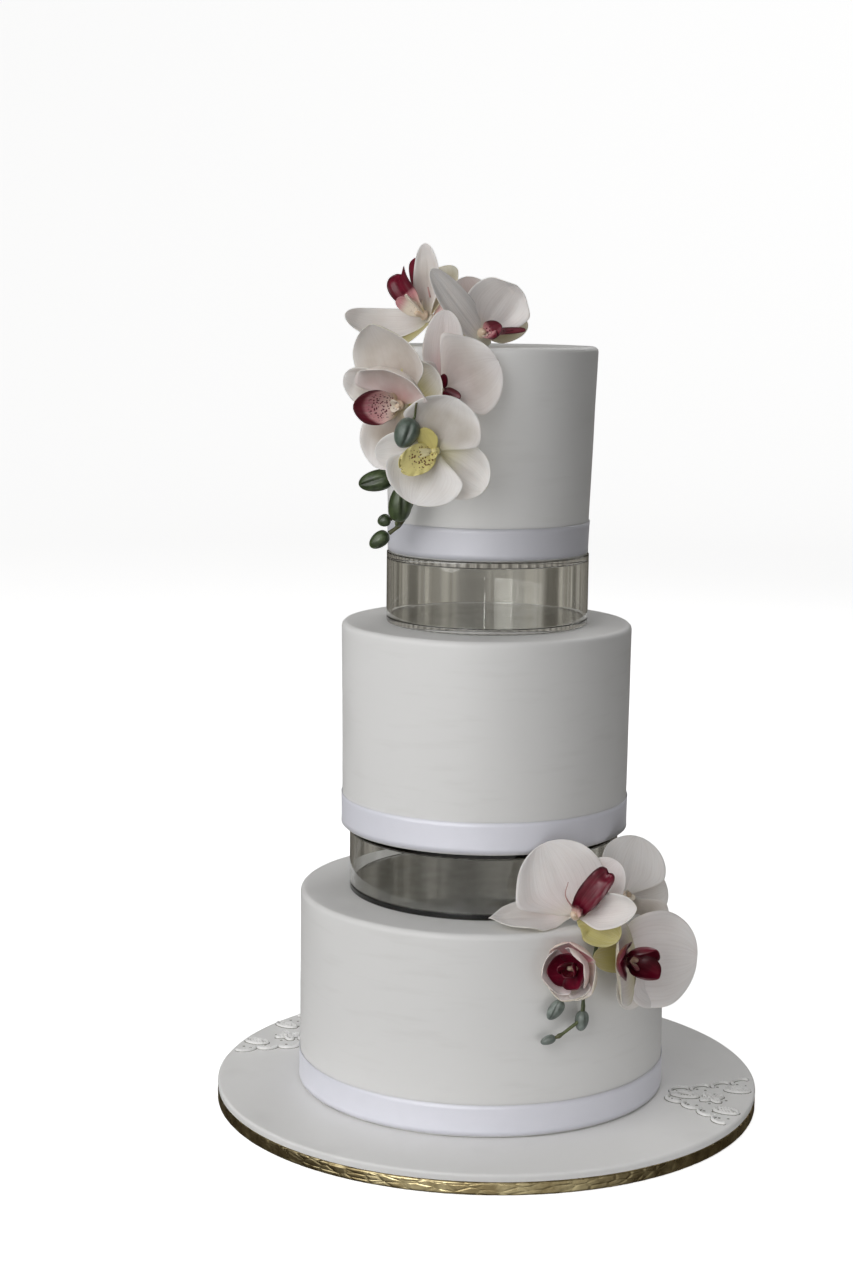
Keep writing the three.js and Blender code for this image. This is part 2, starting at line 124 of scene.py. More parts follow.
class Finish(Nodes):  # a new material; values are the shader's own uniform sockets
    def __init__(self, name, uvMap=None, **values):
        self.material = bpy.data.materials.new(name)
        self.material.use_nodes = True
        super().__init__(self.material.node_tree)
        self.shader = self.tree.nodes["Principled BSDF"]
        for key, value in values.items():
            self.shader.inputs[key.replace("_", " ")].default_value = value
        self.coords = (self.add("UVMap", uv_map=uvMap) if uvMap
                       else self.add("TexCoord", out="Object"))
        self.normal = None

    def stretched(self, *scale, coords=None):
        return self.add("Mapping", Vector=coords or self.coords, Scale=scale)

    def bump(self, height, distance, strength=1.0):  # lies on the bump before it
        self.normal = self.add("Bump", Height=height, Distance=distance, Strength=strength,
                               Normal=self.normal)

    def done(self, colour, gloss=None):
        for key, value in (("Base Color", colour), ("Roughness", gloss), ("Normal", self.normal)):
            if value:
                self.tree.links.new(value.plug, self.shader.inputs[key])
        return self.material


class Shaper(Nodes):  # a Geometry Nodes tree; each input has its first value or kind of socket
    def __init__(self, name, **inputs):
        super().__init__(bpy.data.node_groups.new(name, "GeometryNodeTree"))
        face = self.tree.interface
        for key, value in {"Geometry": "Geometry", **inputs}.items():
            kind = value if isinstance(value, str) else "Int" if isinstance(value, int) else "Float"
            socket = face.new_socket(key.replace("_", " "), in_out="INPUT",
                                     socket_type="NodeSocket" + kind)
            if kind != value:
                socket.default_value = value
        face.new_socket("Geometry", in_out="OUTPUT", socket_type="NodeSocketGeometry")
        self.given = self.node("GroupInput").outputs
        self.coords = self.add("InputPosition")

    def __getitem__(self, name):
        return Socket(self, self.given[name])

    def unevenness(self, scale, detail=2.0):
        return self.noise(scale, detail, noise_dimensions="4D", W=self["Seed"])

    def attribute(self, name):
        return self.add("InputNamedAttribute", out="Attribute", data_type="FLOAT", Name=name)

    def evenCurve(self, step):  # the lines that are given, with a point at every step
        return self.add("ResampleCurve", mode="LENGTH", Length=step,
                        Curve=self.add("MeshToCurve", Mesh=self["Geometry"]))

    def tube(self, curve, sides, width):
        section = self.add("CurvePrimitiveCircle", out="Curve", Resolution=sides, Radius=1.0)
        return self.add("CurveToMesh", Curve=curve, Profile_Curve=section, Scale=width,
                        Fill_Caps=True)

    def coated(self, mesh, material="Material"):
        return self.add("SetMaterial", Geometry=mesh, Material=self[material])

    def done(self, mesh, isCoated=False):
        smooth = self.add("SetShadeSmooth", Geometry=mesh)
        real = self.add("RealizeInstances", Geometry=smooth)
        self.node("GroupOutput", real if isCoated else self.coated(real))
        return self.tree


def shade(*screen):  # a colour as seen on a screen, 0 to 255, made linear
    parts = [c / 255 for c in screen]
    return tuple(c / 12.92 if c <= 0.04045 else ((c + 0.055) / 1.055) ** 2.4 for c in parts)


def newObject(name, points, faces=(), edges=()):
    mesh = bpy.data.meshes.new(name)
    mesh.from_pydata([tuple(p) for p in points], edges, faces)
    obj = bpy.data.objects.new(name, mesh)
    bpy.context.scene.collection.objects.link(obj)
    return obj


def newLines(name, lines, mark=None, values=()):  # lines are (points, closed)
    points, edges = [], []
    for line, closed in lines:
        first, count = len(points), len(line)
        points += line
        edges += [(first + k, first + (k + 1) % count) for k in range(count - (not closed))]
    obj = newObject(name, points, edges=edges)
    if mark:
        obj.data.attributes.new(mark, "FLOAT", "POINT").data.foreach_set("value", values)
    return obj


def closeUp(mesh, merge=True):  # merges doubled points and turns every face outwards
    work = bmesh.new()
    work.from_mesh(mesh)
    if merge:
        bmesh.ops.remove_doubles(work, verts=work.verts, dist=1e-6)
    bmesh.ops.recalc_face_normals(work, faces=work.faces)
    work.to_mesh(mesh)
    work.free()


def useTree(obj, tree, **values):  # runs a tree on an object and leaves a plain mesh
    modifier = obj.modifiers.new(tree.name, "NODES")
    modifier.node_group = tree
    sockets = {s.name: s.identifier for s in tree.interface.items_tree
               if s.item_type == "SOCKET" and s.in_out == "INPUT"}
    for name, value in values.items():
        modifier[sockets[name.replace("_", " ")]] = value
    obj.update_tag()
    graph = bpy.context.evaluated_depsgraph_get()
    mesh = bpy.data.meshes.new_from_object(obj.evaluated_get(graph), depsgraph=graph)
    obj.modifiers.clear()
    obj.data = mesh
    closeUp(mesh)
    return obj


def ringPoints(outline, sides):  # each (radius, height) of an outline carried round the Z axis
    turns = [fullTurn * k / sides for k in range(sides)]
    return [(r * math.cos(a), r * math.sin(a), z) for r, z in outline for a in turns]


def tubeFaces(rings, sides):  # the faces between rings of points that follow each other
    faces = []
    for i in range(rings - 1):
        for k in range(sides):
            n = (k + 1) % sides
            faces.append((i * sides + k, i * sides + n, (i + 1) * sides + n, (i + 1) * sides + k))
    return faces


def direction(turn, rise):  # turn is from the front to the right, rise from the level, degrees
    turn, rise = math.radians(turn), math.radians(rise)
    return Vector((math.sin(turn) * math.cos(rise), -math.cos(turn) * math.cos(rise),
                   math.sin(rise)))


def standFor(obj, node):  # the finished piece takes the place of its frame node
    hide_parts(node)
    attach(obj, "root")
    return obj


cameraSet = {
    "spot": (0, -1.8526, 0.6716),
    "lens": 63.6, "sensor": 36,  # millimetres
    "down": 8.67, "turn": -1.69, "roll": 0.64,  # degrees
}


def makeCamera():
    yaw, roll = math.radians(cameraSet["turn"]), math.radians(cameraSet["roll"])
    ahead = -direction(-cameraSet["turn"], cameraSet["down"])
    level = Vector((math.cos(yaw), -math.sin(yaw), 0))
    below = ahead.cross(level)
    right = level * math.cos(roll) - below * math.sin(roll)
    down = level * math.sin(roll) + below * math.cos(roll)
    data = bpy.data.cameras.new("camera")
    data.lens, data.sensor_width = cameraSet["lens"], cameraSet["sensor"]
    camera = bpy.data.objects.new("camera", data)
    camera.matrix_world = Matrix((right, -down, -ahead)).transposed().to_4x4()
    camera.location = cameraSet["spot"]
    bpy.context.scene.collection.objects.link(camera)
    bpy.context.scene.camera = camera


# Each lamp stands at an angle from the front, to the right, and above the level of the cake's
# middle. The second lamp is the share of the key light that passes through petals.
lampAim = (0, 0, 0.35)
lamps = {
    "key": {"turn": -42, "rise": 25, "away": 2.3, "size": (2.6, 2.6), "watts": 23.5},
    "keyThroughPetals": {"turn": -42, "rise": 25, "away": 2.3, "size": (2.6, 2.6), "watts": 15},
    "back": {"turn": 150, "rise": 38, "away": 2.6, "size": (1.6, 1.6), "watts": 15},
    "low": {"turn": 46, "rise": -30, "away": 0.66, "size": (0.4, 0.4), "watts": 0.46},
    "gleam": {"turn": -20, "rise": 8, "away": 2.3, "size": (0.9, 0.9), "watts": 7},
    "strip": {"turn": 3, "rise": 16, "away": 2.1, "size": (0.04, 0.5), "watts": 1.2},
}


def makeLights():
    for name, light in lamps.items():
        away = direction(light["turn"], light["rise"])
        data = bpy.data.lights.new(name, "AREA")
        data.shape = "RECTANGLE"
        data.size, data.size_y = light["size"]
        data.energy = light["watts"]
        lamp = bpy.data.objects.new(name, data)
        lamp.location = Vector(lampAim) + away * light["away"]
        lamp.rotation_mode = "QUATERNION"
        lamp.rotation_quaternion = (-away).to_track_quat("-Z", "Y")
        lamp.visible_camera = False
        lamp.visible_diffuse = name not in ("gleam", "strip")
        lamp.visible_glossy = name != "low"
        bpy.context.scene.collection.objects.link(lamp)


def lightThrough(pieces):  # thin petals let part of the key light through
    thin = bpy.data.collections.new("thinPetals")
    for piece in pieces:
        thin.objects.link(piece)
    bpy.data.objects["keyThroughPetals"].light_linking.blocker_collection = thin
    for item in thin.collection_objects:
        item.light_linking.link_state = "EXCLUDE"


room = {  # what gloss and clear plastic show; pairs are a panel's dark and light colour
    "ambient": 0.26,
    "leftSide": 1.22, "rightSide": 0.42,  # shares of the ambient light
    "panels": 95.0, "panelTurn": 0.012, "folds": 80.0,
    "below": (shade(146, 148, 142), shade(180, 182, 176)),
    "walls": (shade(92, 88, 79), shade(184, 180, 167)),
    "seenInside": (shade(88, 85, 79), shade(170, 166, 158)),
    "mirrored": (shade(52, 46, 38), shade(70, 64, 54)),
    "front": shade(204, 202, 197),
}


def makeWorld():  # even light on the cake, and a dim room with tall panels
    world = bpy.data.worlds.new("studio")
    world.use_nodes = True
    bpy.context.scene.world = world
    world.node_tree.nodes.clear()
    sky = Nodes(world.node_tree)
    glossy, diffuse, passes = sky.add("LightPath", out=("Is Glossy Ray", "Is Diffuse Ray",
                                                        "Transmission Depth"))
    x, y, z = sky.split(sky.add("TexCoord", out="Generated"))
    around = sky.calc("ARCTAN2", x, y)
    folds = sky.add("TexNoise", out="Fac", noise_dimensions="1D", W=around, Scale=room["folds"],
                    Detail=2.0, Roughness=0.45).remap(0.4, 0.55, 1.0, 0.45)
    gaps = sky.calc("COSINE", (around + room["panelTurn"]) * room["panels"])
    streaks = folds * gaps.remap(0.0, 0.9, 1.0, 0.1, smooth=True)
    passed = sky.calc("MINIMUM", passes, 1.0)
    mirrored = sky.mix(passed, sky.mix(streaks, *room["mirrored"]),
                       sky.mix(streaks, *room["seenInside"]))
    front = y.remap(-0.95, -0.3, 1.0, 0.0, smooth=True)
    mirrored = sky.mix(front, mirrored, room["front"])
    low = z.remap(-0.24, -0.12, smooth=True)
    straight = sky.mix(low, sky.mix(folds, *room["below"]), sky.mix(streaks, *room["walls"]))
    sides = x.remap(-0.9, 0.9, room["leftSide"], room["rightSide"])
    even = sky.add("Background", Color=(1, 1, 1, 1), Strength=sides * room["ambient"])
    seen = sky.add("Background", Color=sky.mix(glossy, straight, mirrored), Strength=1.0)
    sky.node("OutputWorld", Surface=sky.add("MixShader", 1.0 - diffuse, even, seen))


stage = {"radius": 6.0, "bend": 1.6, "high": 5.0, "low": -0.3 * mm, "sides": 96, "glow": 0.75}


def makeStage():  # a floor that bends up into a wall all round
    radius, bend, low = stage["radius"], stage["bend"], stage["low"]
    outline = [(0, low), (radius - bend, low)]
    outline += [(radius - bend + bend * math.sin(a), low + bend * (1 - math.cos(a)))
                for a in (math.radians(9 * i) for i in range(1, 11))]
    outline.append((radius, stage["high"]))
    floor = newObject("floor", ringPoints(outline, stage["sides"]),
                      tubeFaces(len(outline), stage["sides"]))
    closeUp(floor.data)
    for face in floor.data.polygons:
        face.use_smooth = True
    pale = Finish("paleFloor", Roughness=0.9, Emission_Color=(1, 1, 1, 1),
                  Emission_Strength=stage["glow"])
    floor.data.materials.append(pale.done(pale.mix(pale.noise(1.2), (0.84,) * 3, (0.86,) * 3)))
    for way in ("diffuse", "glossy", "transmission", "shadow"):
        setattr(floor, "visible_" + way, False)


makeCamera()
makeLights()
makeWorld()
makeStage()
bpy.context.scene.view_settings.view_transform = "Standard"
print("camera, lights and stage are ready")


# The finishes of the cake and its board. The flowers' own come after their shapes.
def fondantFinish(name, light):
    skin = Finish(name, Roughness=0.5)
    plain = tuple(light * c for c in (1, 0.994, 0.98))
    wiped = skin.noise(3.0, 3.0, coords=skin.stretched(6, 6, 40)).remap(0.55, 0.8, 0.0, 0.35)
    colour = skin.mix(wiped, plain, (0.72, 0.71, 0.69))
    skin.bump(skin.noise(45.0), 0.35 * mm)
    skin.bump(skin.noise(1400.0, 3.0, 0.6), 0.05 * mm, 0.6)
    return skin.done(colour, skin.noise(30.0).remap(0.3, 0.7, 0.4, 0.56))


def satinFinish(name, grey):  # fine threads run round the cake
    skin = Finish(name, uvMap="ribbonMap", Roughness=0.5, Metallic=0.12, Sheen_Weight=0.3,
                  Sheen_Roughness=0.4)
    weave = skin.noise(1.0, coords=skin.stretched(14, 1100, 1))
    slubs = skin.noise(1.0, coords=skin.stretched(60, 2, 1)).remap(0.4, 0.7, 0.0, 0.5)
    colour = skin.mix(weave, (0.83, 0.835, 0.925), (0.92, 0.925, 0.99))
    colour = skin.mix(slubs, colour, (0.90, 0.90, 0.98))
    edge = abs(skin.split(skin.coords)[1] - 0.5)
    colour = skin.mix(edge.remap(0.44, 0.48, 0.0, 0.5, smooth=True), colour, (0.80, 0.80, 0.83))
    skin.bump(weave, 0.06 * mm, 0.5)
    return skin.done(skin.mix(grey, colour, (0.45, 0.45, 0.48)))


def foilFinish():
    skin = Finish("goldFoil", Metallic=1.0, Roughness=0.3)
    crinkle = skin.noise(55.0, 4.0, 0.6).remap(0.35, 0.65)
    wide = skin.stretched(0.45, 0.45, 1.3)
    cells = skin.add("TexVoronoi", Vector=wide, Scale=170.0, feature="DISTANCE_TO_EDGE")
    skin.bump(cells.remap(0.0, 0.18), 0.5 * mm, 0.6)
    skin.bump(skin.noise(300.0, 3.0, coords=wide), 0.25 * mm, 0.5)
    return skin.done(skin.mix(crinkle, (0.34, 0.27, 0.14), (0.74, 0.64, 0.38)),
                     skin.noise(90.0).remap(0.3, 0.7, 0.22, 0.42))


def clearFinish(name, tint, paintedReflectionStreak):
    skin = Finish(name, Transmission_Weight=1.0, IOR=1.49, Roughness=0.01)
    # painted reflections: darker vertical streaks in the clear colour stand for the room's panels seen
    # in the plastic
    streaks = skin.noise(55.0, coords=skin.stretched(1, 1, 0.02)).remap(0.42, 0.6)
    return skin.done(skin.mix(streaks, tint, paintedReflectionStreak),
                     skin.noise(60.0, 3.0).remap(0.5, 0.75, 0.0, 0.05))


icing = fondantFinish("rolledIcing", 0.83)
boardSkin = fondantFinish("boardIcing", 0.89)
satins = {"bottom": satinFinish("lilacSatin", 0.0), "top": satinFinish("greyerSatin", 0.38)}
satins["middle"] = satins["bottom"]
foil = foilFinish()
# Both acrylics are clear plastic; the lower drum's ring takes the darker copy, whose tint and streaks
# are painted shade of the dim space inside it.
clearUpper = clearFinish("clearAcrylic", (0.985, 0.99, 0.975), (0.88, 0.88, 0.85))
clearLower = clearFinish("smokyAcrylic", (0.94, 0.945, 0.935), (0.82, 0.825, 0.81))
print("icing, satin, foil and acrylic finishes are ready")

spindle = 10 * mm  # radius of the circle that an outline is carried round


def turningTree():  # carries an outline round an upright axis and makes it a little uneven
    turner = Shaper("turnedPiece", Steps=192, Centre="Vector", Unevenness=0.0, Patch_size=0.06,
                    Fine_relief=0.0, Fine_size=0.006, Seed=0.0, Material="Material")
    circle = turner.add("CurvePrimitiveCircle", out="Curve", Resolution=turner["Steps"],
                        Radius=spindle)
    outline = turner.add("MeshToCurve", Mesh=turner["Geometry"])
    turned = turner.add("CurveToMesh", Curve=circle, Profile_Curve=outline)
    closed = turner.add("MergeByDistance", Geometry=turned, Distance=1e-6)

    def relief(size, depth, detail):
        return (turner.unevenness(1.0 / turner[size], detail) - 0.5) * turner[depth]

    both = relief("Patch size", "Unevenness", 1.0) + relief("Fine size", "Fine relief", 2.0)
    push = turner.add("VectorMath", turner.add("InputNormal"), operation="SCALE", Scale=both)
    uneven = turner.add("SetPosition", Geometry=closed, Offset=push)
    return turner.done(turner.add("Transform", Geometry=uneven, Translation=turner["Centre"]))


def roundedOutline(corners, closed, steps=3):
    # corners are (radius, height, rounding); a rounded one becomes an arc between two holds
    points, hold = [], 0.6
    count = len(corners)
    for i, (r, z, rounding) in enumerate(corners):
        here = Vector((r, z))
        if not rounding or (not closed and i in (0, count - 1)):
            points.append(here)
            continue
        before = (Vector(corners[i - 1][:2]) - here).normalized()
        after = (Vector(corners[(i + 1) % count][:2]) - here).normalized()
        half = before.angle(after) / 2
        reach = rounding / math.tan(half)
        middle = here + (before + after).normalized() * (rounding / math.sin(half))
        first, last = here + before * reach, here + after * reach
        points.append(first + before * rounding * hold)
        for k in range(steps + 1):
            arm = (first - middle).lerp(last - middle, k / steps)
            points.append(middle + arm.normalized() * rounding)
        points.append(last + after * rounding * hold)
    return points


def denser(points, closed, step, outside):  # no stretch that reaches outside is over a step
    result = []
    for i, here in enumerate(points):
        result.append(here)
        if i == len(points) - 1 and not closed:
            break
        there = points[(i + 1) % len(points)]
        extra = int((there - here).length / step) if max(here.x, there.x) > outside else 0
        result += [here.lerp(there, (k + 1) / (extra + 1)) for k in range(extra)]
    return result


def turnedPiece(name, corners, finish, closed=False, step=8 * mm, steps=192, outside=0,
                centre=(0, 0, 0), **values):
    outline = denser(roundedOutline(corners, closed), closed, step, outside)
    line = newLines(name, [([(p.x - spindle, -p.y, 0) for p in outline], closed)])
    return useTree(line, turning, Steps=steps, Material=finish, Centre=centre, **values)


turning = turningTree()

board = {
    "radius": 228 * mm, "foilHeight": 10.3 * mm, "foilEdge": 1.5 * mm, "crinkledRim": 8 * mm,
    "foilInset": 0.4 * mm, "crinkle": 0.45 * mm, "crinkleSize": 7 * mm,
    "icingThick": 6.2 * mm, "icingEdge": 1.8 * mm, "icingInset": (0.8 * mm, 0.2 * mm),
    "gap": 0.3 * mm,
}
icingBase = board["foilHeight"] + board["gap"]
icingTop = icingBase + board["icingThick"]


def makeBoard():
    radius, edge, high = board["radius"], board["foilEdge"], board["foilHeight"]
    inner, rim = radius - board["crinkledRim"], radius - board["foilInset"]
    drum = turnedPiece("boardDrum", [(0, 0, 0), (inner, 0, 0), (rim, 0, edge), (rim, high, edge),
                                     (inner, high, 0), (0, high, 0)],
                       foil, step=1.2 * mm, steps=720, outside=inner,
                       Fine_relief=board["crinkle"], Fine_size=board["crinkleSize"], Seed=3.0)
    standFor(drum, "board_drum")
    foot, head = (radius - inset for inset in board["icingInset"])
    sheet = turnedPiece("boardIcing", [(0, icingBase, 0), (foot, icingBase, 0.4 * mm),
                                       (head, icingTop, board["icingEdge"]), (0, icingTop, 0)],
                        boardSkin, step=5 * mm, steps=256, Unevenness=0.5 * mm, Seed=1.0)
    standFor(sheet, "board_icing")


# Two fans of piped lace. A loop is (length, width, distance out, degrees off the fan's middle),
# its length lying outwards, and a scallop is half of a loop. Lengths are in millimetres.
lace = {
    "fans": (-16, 155), "near": 158, "far": 224, "halfAngle": 15.5,
    "loops": ((22, 9, 172, 0), (13, 10, 172, 0), (20, 10, 213, -7), (20, 10, 213, 7),
              (9, 5, 213, -7), (9, 5, 213, 7)),
    "scallops": 4, "scallopSize": (17, 12), "scallopTurn": 40,
    "flowerAt": 195, "flowerPetals": 4, "petalSize": (9.5, 5.5), "petalOut": 5.6,
    "line": 1.3, "high": 2.6, "eyelet": 1.3, "ropePitch": 2.6,
}


def laceStrokes():  # the lines of one fan, each (points, closed), and a single point an eyelet
    strokes, eyelets = [], []

    def spot(out, turn):
        a = math.radians(turn)
        return Vector((out * math.cos(a), out * math.sin(a), 0))

    def oval(size, middle, turn, last=360):
        steps = max(10, last // 15)
        lean = Matrix.Rotation(math.radians(turn), 3, "Z")
        angles = (math.radians(last * k / steps) for k in range(steps + (last < 360)))
        strokes.append(([middle + lean @ Vector((size[0] / 2 * math.cos(t),
                                                 size[1] / 2 * math.sin(t), 0))
                         for t in angles], last == 360))

    for length, width, out, turn in lace["loops"]:
        oval((length, width), spot(out, turn), turn)
    for i in range(lace["scallops"]):
        t = (i + 0.5) / lace["scallops"]
        out = lace["near"] + (lace["far"] - lace["near"]) * t
        for way in (-1, 1):
            turn = way * lace["halfAngle"] * (0.15 + 0.75 * t)
            lean = turn + way * lace["scallopTurn"] + (180 if way < 0 else 0)
            oval(lace["scallopSize"], spot(out, turn), lean, 180)
            eyelets += [spot(out - 3, turn * 0.9), spot(out + 4, turn * 0.86)]
    middle = spot(lace["flowerAt"], 0)
    for i in range(lace["flowerPetals"]):
        turn = 45 + 360 * i / lace["flowerPetals"]
        oval(lace["petalSize"], middle + spot(lace["petalOut"], turn), turn)
        eyelets.append(middle + spot(lace["petalOut"] * 2.1, turn + 45))
    eyelets += [middle, spot(172, 0), spot(213, 6), spot(213, -6)]
    return strokes + [([p], False) for p in eyelets]


def laceTree():  # pipes each line as a low rope, lays a wider flat dark strip under it as painted shadow, and puts a flat dark lens at each eyelet as the painted shade of its hole
    piping = Shaper("pipedLace", Line=0.001, High=0.001, Base=0.0, Eyelet=0.001,
                    Rope_pitch=0.003, Seed=0.0, Material="Material", Shadow="Material")
    even = piping.evenCurve(0.7 * mm)
    way = piping.add("SplineParameter", out="Length")
    beads = piping.calc("SINE", way * fullTurn / piping["Rope pitch"]) * 0.12 + 1.0
    width = beads * piping["Line"] * (piping.unevenness(220.0) * 0.4 + 0.8)
    x, y, z = piping.split(piping.coords)

    def rope(width, high, material):
        height = piping["Base"] + z * (high / piping["Line"])
        flat = piping.add("SetPosition", Geometry=piping.tube(even, 8, width),
                          Position=piping.add("CombineXYZ", x, y, height))
        return piping.coated(flat, material)

    spots = piping.add("MeshToPoints", Mesh=piping["Geometry"],
                       Selection=piping.attribute("eyelet"))
    lens = piping.add("MeshUVSphere", Segments=10, Rings=5, Radius=1.0)
    size = piping.add("CombineXYZ", piping["Eyelet"], piping["Eyelet"], 0.12 * mm)
    holes = piping.add("InstanceOnPoints", Points=spots, Instance=lens, Scale=size)
    lift = piping.add("CombineXYZ", None, None, piping["Base"])
    lifted = piping.add("Transform", Geometry=holes, Translation=lift)
    # the second and third parts are painted shade: dark lenses at the eyelets and a flat dark strip
    # under each rope
    both = piping.node("JoinGeometry")
    for part in (rope(width, piping["High"], "Material"), piping.coated(lifted, "Shadow"),
                 rope(width * 1.5, 0.25 * mm, "Shadow")):
        piping.tree.links.new(part.plug, both.inputs[0])
    return piping.done(Socket(piping, both.outputs[0]), isCoated=True)


def makeLace():
    turns = [Matrix.Rotation(math.radians(fan), 3, "Z") for fan in lace["fans"]]
    lines = [([turn @ p * mm for p in line], closed)
             for turn in turns for line, closed in laceStrokes()]
    isEyelet = [float(len(line) == 1) for line, closed in lines for p in line]
    dim = Finish("laceShadow", Roughness=0.8)
    shadow = dim.done(dim.mix(dim.noise(300.0), shade(122, 121, 112), shade(156, 155, 146)))
    piece = useTree(newLines("boardLace", lines, "eyelet", isEyelet), laceTree(),
                    Line=lace["line"] * mm, High=lace["high"] * mm, Base=icingTop,
                    Eyelet=lace["eyelet"] * mm, Rope_pitch=lace["ropePitch"] * mm, Seed=4.0,
                    Material=boardSkin, Shadow=shadow)
    standFor(piece, "board_icing")


makeBoard()
makeLace()
print("board and its lace are ready")

cakeX = -5 * mm
tierSet = {
    "bottom": {"low": 17.1 * mm, "base": 153.3 * mm, "top": 153.3 * mm, "high": 164 * mm},
    "middle": {"low": 235.9 * mm, "base": 118.5 * mm, "top": 120 * mm, "high": 170 * mm},
    "top": {"low": 463.9 * mm, "base": 81.7 * mm, "top": 87.8 * mm, "high": 168 * mm},
}
tierEdge, tierFootEdge, tierInset = 4 * mm, 1 * mm, 0.3 * mm
ribbonSet = {
    "high": 25.4 * mm, "thick": 0.4 * mm, "lift": 1.3 * mm, "clear": 0.3 * mm,
    "lap": 14,  # degrees by which the end lies over the start, at the back
    "flutter": 0.35 * mm, "steps": 240, "rows": 6,
}
separatorSet = {
    "lower": {"radius": 112 * mm, "low": 181.4 * mm, "high": 54.2 * mm, "finish": clearLower},
    "upper": {"radius": 83.1 * mm, "low": 406.2 * mm, "high": 57.4 * mm, "finish": clearUpper},
}
plateThick, plateEdge, wallThick, wallEdge = 4.5 * mm, 0.5 * mm, 3 * mm, 0.3 * mm


def makeTier(name, tier, seed):
    low, top = tier["low"], tier["low"] + tier["high"]
    corners = [(0, low, 0), (tier["base"] - tierInset, low, tierFootEdge),
               (tier["top"] - tierInset, top, tierEdge), (0, top, 0)]
    piece = turnedPiece(f"{name}Tier", corners, icing, step=4 * mm, steps=256,
                        centre=(cakeX, 0, 0), Unevenness=0.9 * mm, Patch_size=70 * mm, Seed=seed)
    standFor(piece, f"tier_{name}")


def ribbonTree():  # a band round a tier, its end lapped over its start at the back
    band = Shaper("ribbonBand", Foot_radius=0.1, Top_radius=0.1, Foot=0.0, Height=0.025, Lap=0.2,
                  Thickness=0.0005, Flutter=0.0003, Seed=0.0, Centre="Vector",
                  Material="Material")
    grid, spread = band.add("MeshGrid", out=("Mesh", "UV Map"), Size_X=1.0, Size_Y=1.0,
                            Vertices_X=ribbonSet["steps"], Vertices_Y=ribbonSet["rows"] + 1)
    mapped = band.add("StoreNamedAttribute", Geometry=grid, Name="ribbonMap", Value=spread,
                      data_type="FLOAT2", domain="CORNER")
    x, y, z = band.split(band.coords)
    along, across = x + 0.5, y + 0.5
    turn = along * (band["Lap"] + fullTurn) + math.pi / 2
    start = 1.0 - band["Lap"] * 1.6 / fullTurn
    over = along.remap(start, start + 0.02, smooth=True)
    wave = band.add("TexNoise", out="Fac", noise_dimensions="1D", Scale=1.0, Detail=1.0,
                    W=along * 22.0 + band["Seed"])
    rim = band.calc("POWER", abs(across * 2.0 - 1.0), 3.0)
    radius = across.remap(0.0, 1.0, band["Foot radius"], band["Top radius"])
    radius = radius + over * (band["Thickness"] * 1.4) + wave * rim * band["Flutter"]
    place = band.add("CombineXYZ", radius * band.calc("COSINE", turn),
                     radius * band.calc("SINE", turn), band["Foot"] + across * band["Height"])
    bent = band.add("SetPosition", Geometry=mapped, Position=place)
    return band.done(band.add("Transform", Geometry=bent, Translation=band["Centre"]))


def makeRibbon(name, tier, seed):
    slope = (tier["top"] - tier["base"]) / tier["high"]
    foot = tier["base"] + slope * ribbonSet["lift"] + ribbonSet["clear"]
    band = useTree(newObject(f"{name}Ribbon", []), ribbons, Foot_radius=foot,
                   Top_radius=foot + slope * ribbonSet["high"],
                   Foot=tier["low"] + ribbonSet["lift"], Height=ribbonSet["high"],
                   Lap=math.radians(ribbonSet["lap"]), Thickness=ribbonSet["thick"],
                   Flutter=ribbonSet["flutter"], Seed=seed, Centre=(cakeX, 0, 0),
                   Material=satins[name])
    wall = band.modifiers.new("wall", "SOLIDIFY")
    wall.thickness = ribbonSet["thick"]
    wall.offset = 0
    standFor(band, f"ribbon_{name}")


def makeSeparator(name, drum):
    radius, low, high = drum["radius"], drum["low"], drum["low"] + drum["high"]
    foot, head = low + plateThick + board["gap"], high - plateThick - board["gap"]

    def part(kind, corners, finish, closed):
        piece = turnedPiece(f"{name}Separator{kind}", corners, finish, closed=closed,
                            step=30 * mm, centre=(cakeX, 0, 0))
        standFor(piece, f"separator_{name}_{kind.lower()}")

    for kind, z in (("Base", low), ("Plate", high - plateThick)):
        part(kind, [(0, z, 0), (radius, z, plateEdge), (radius, z + plateThick, plateEdge),
                    (0, z + plateThick, 0)], clearUpper, False)
    part("Ring", [(r, z, wallEdge) for r, z in ((radius - wallThick, foot), (radius, foot),
                                                (radius, head), (radius - wallThick, head))],
         drum["finish"], True)


ribbons = ribbonTree()
for number, (tierName, tierSize) in enumerate(tierSet.items()):
    makeTier(tierName, tierSize, 5.0 + number)
    makeRibbon(tierName, tierSize, 2.0 + number)
for drumName, drumSize in separatorSet.items():
    makeSeparator(drumName, drumSize)
print("tiers, ribbons and separators are ready")

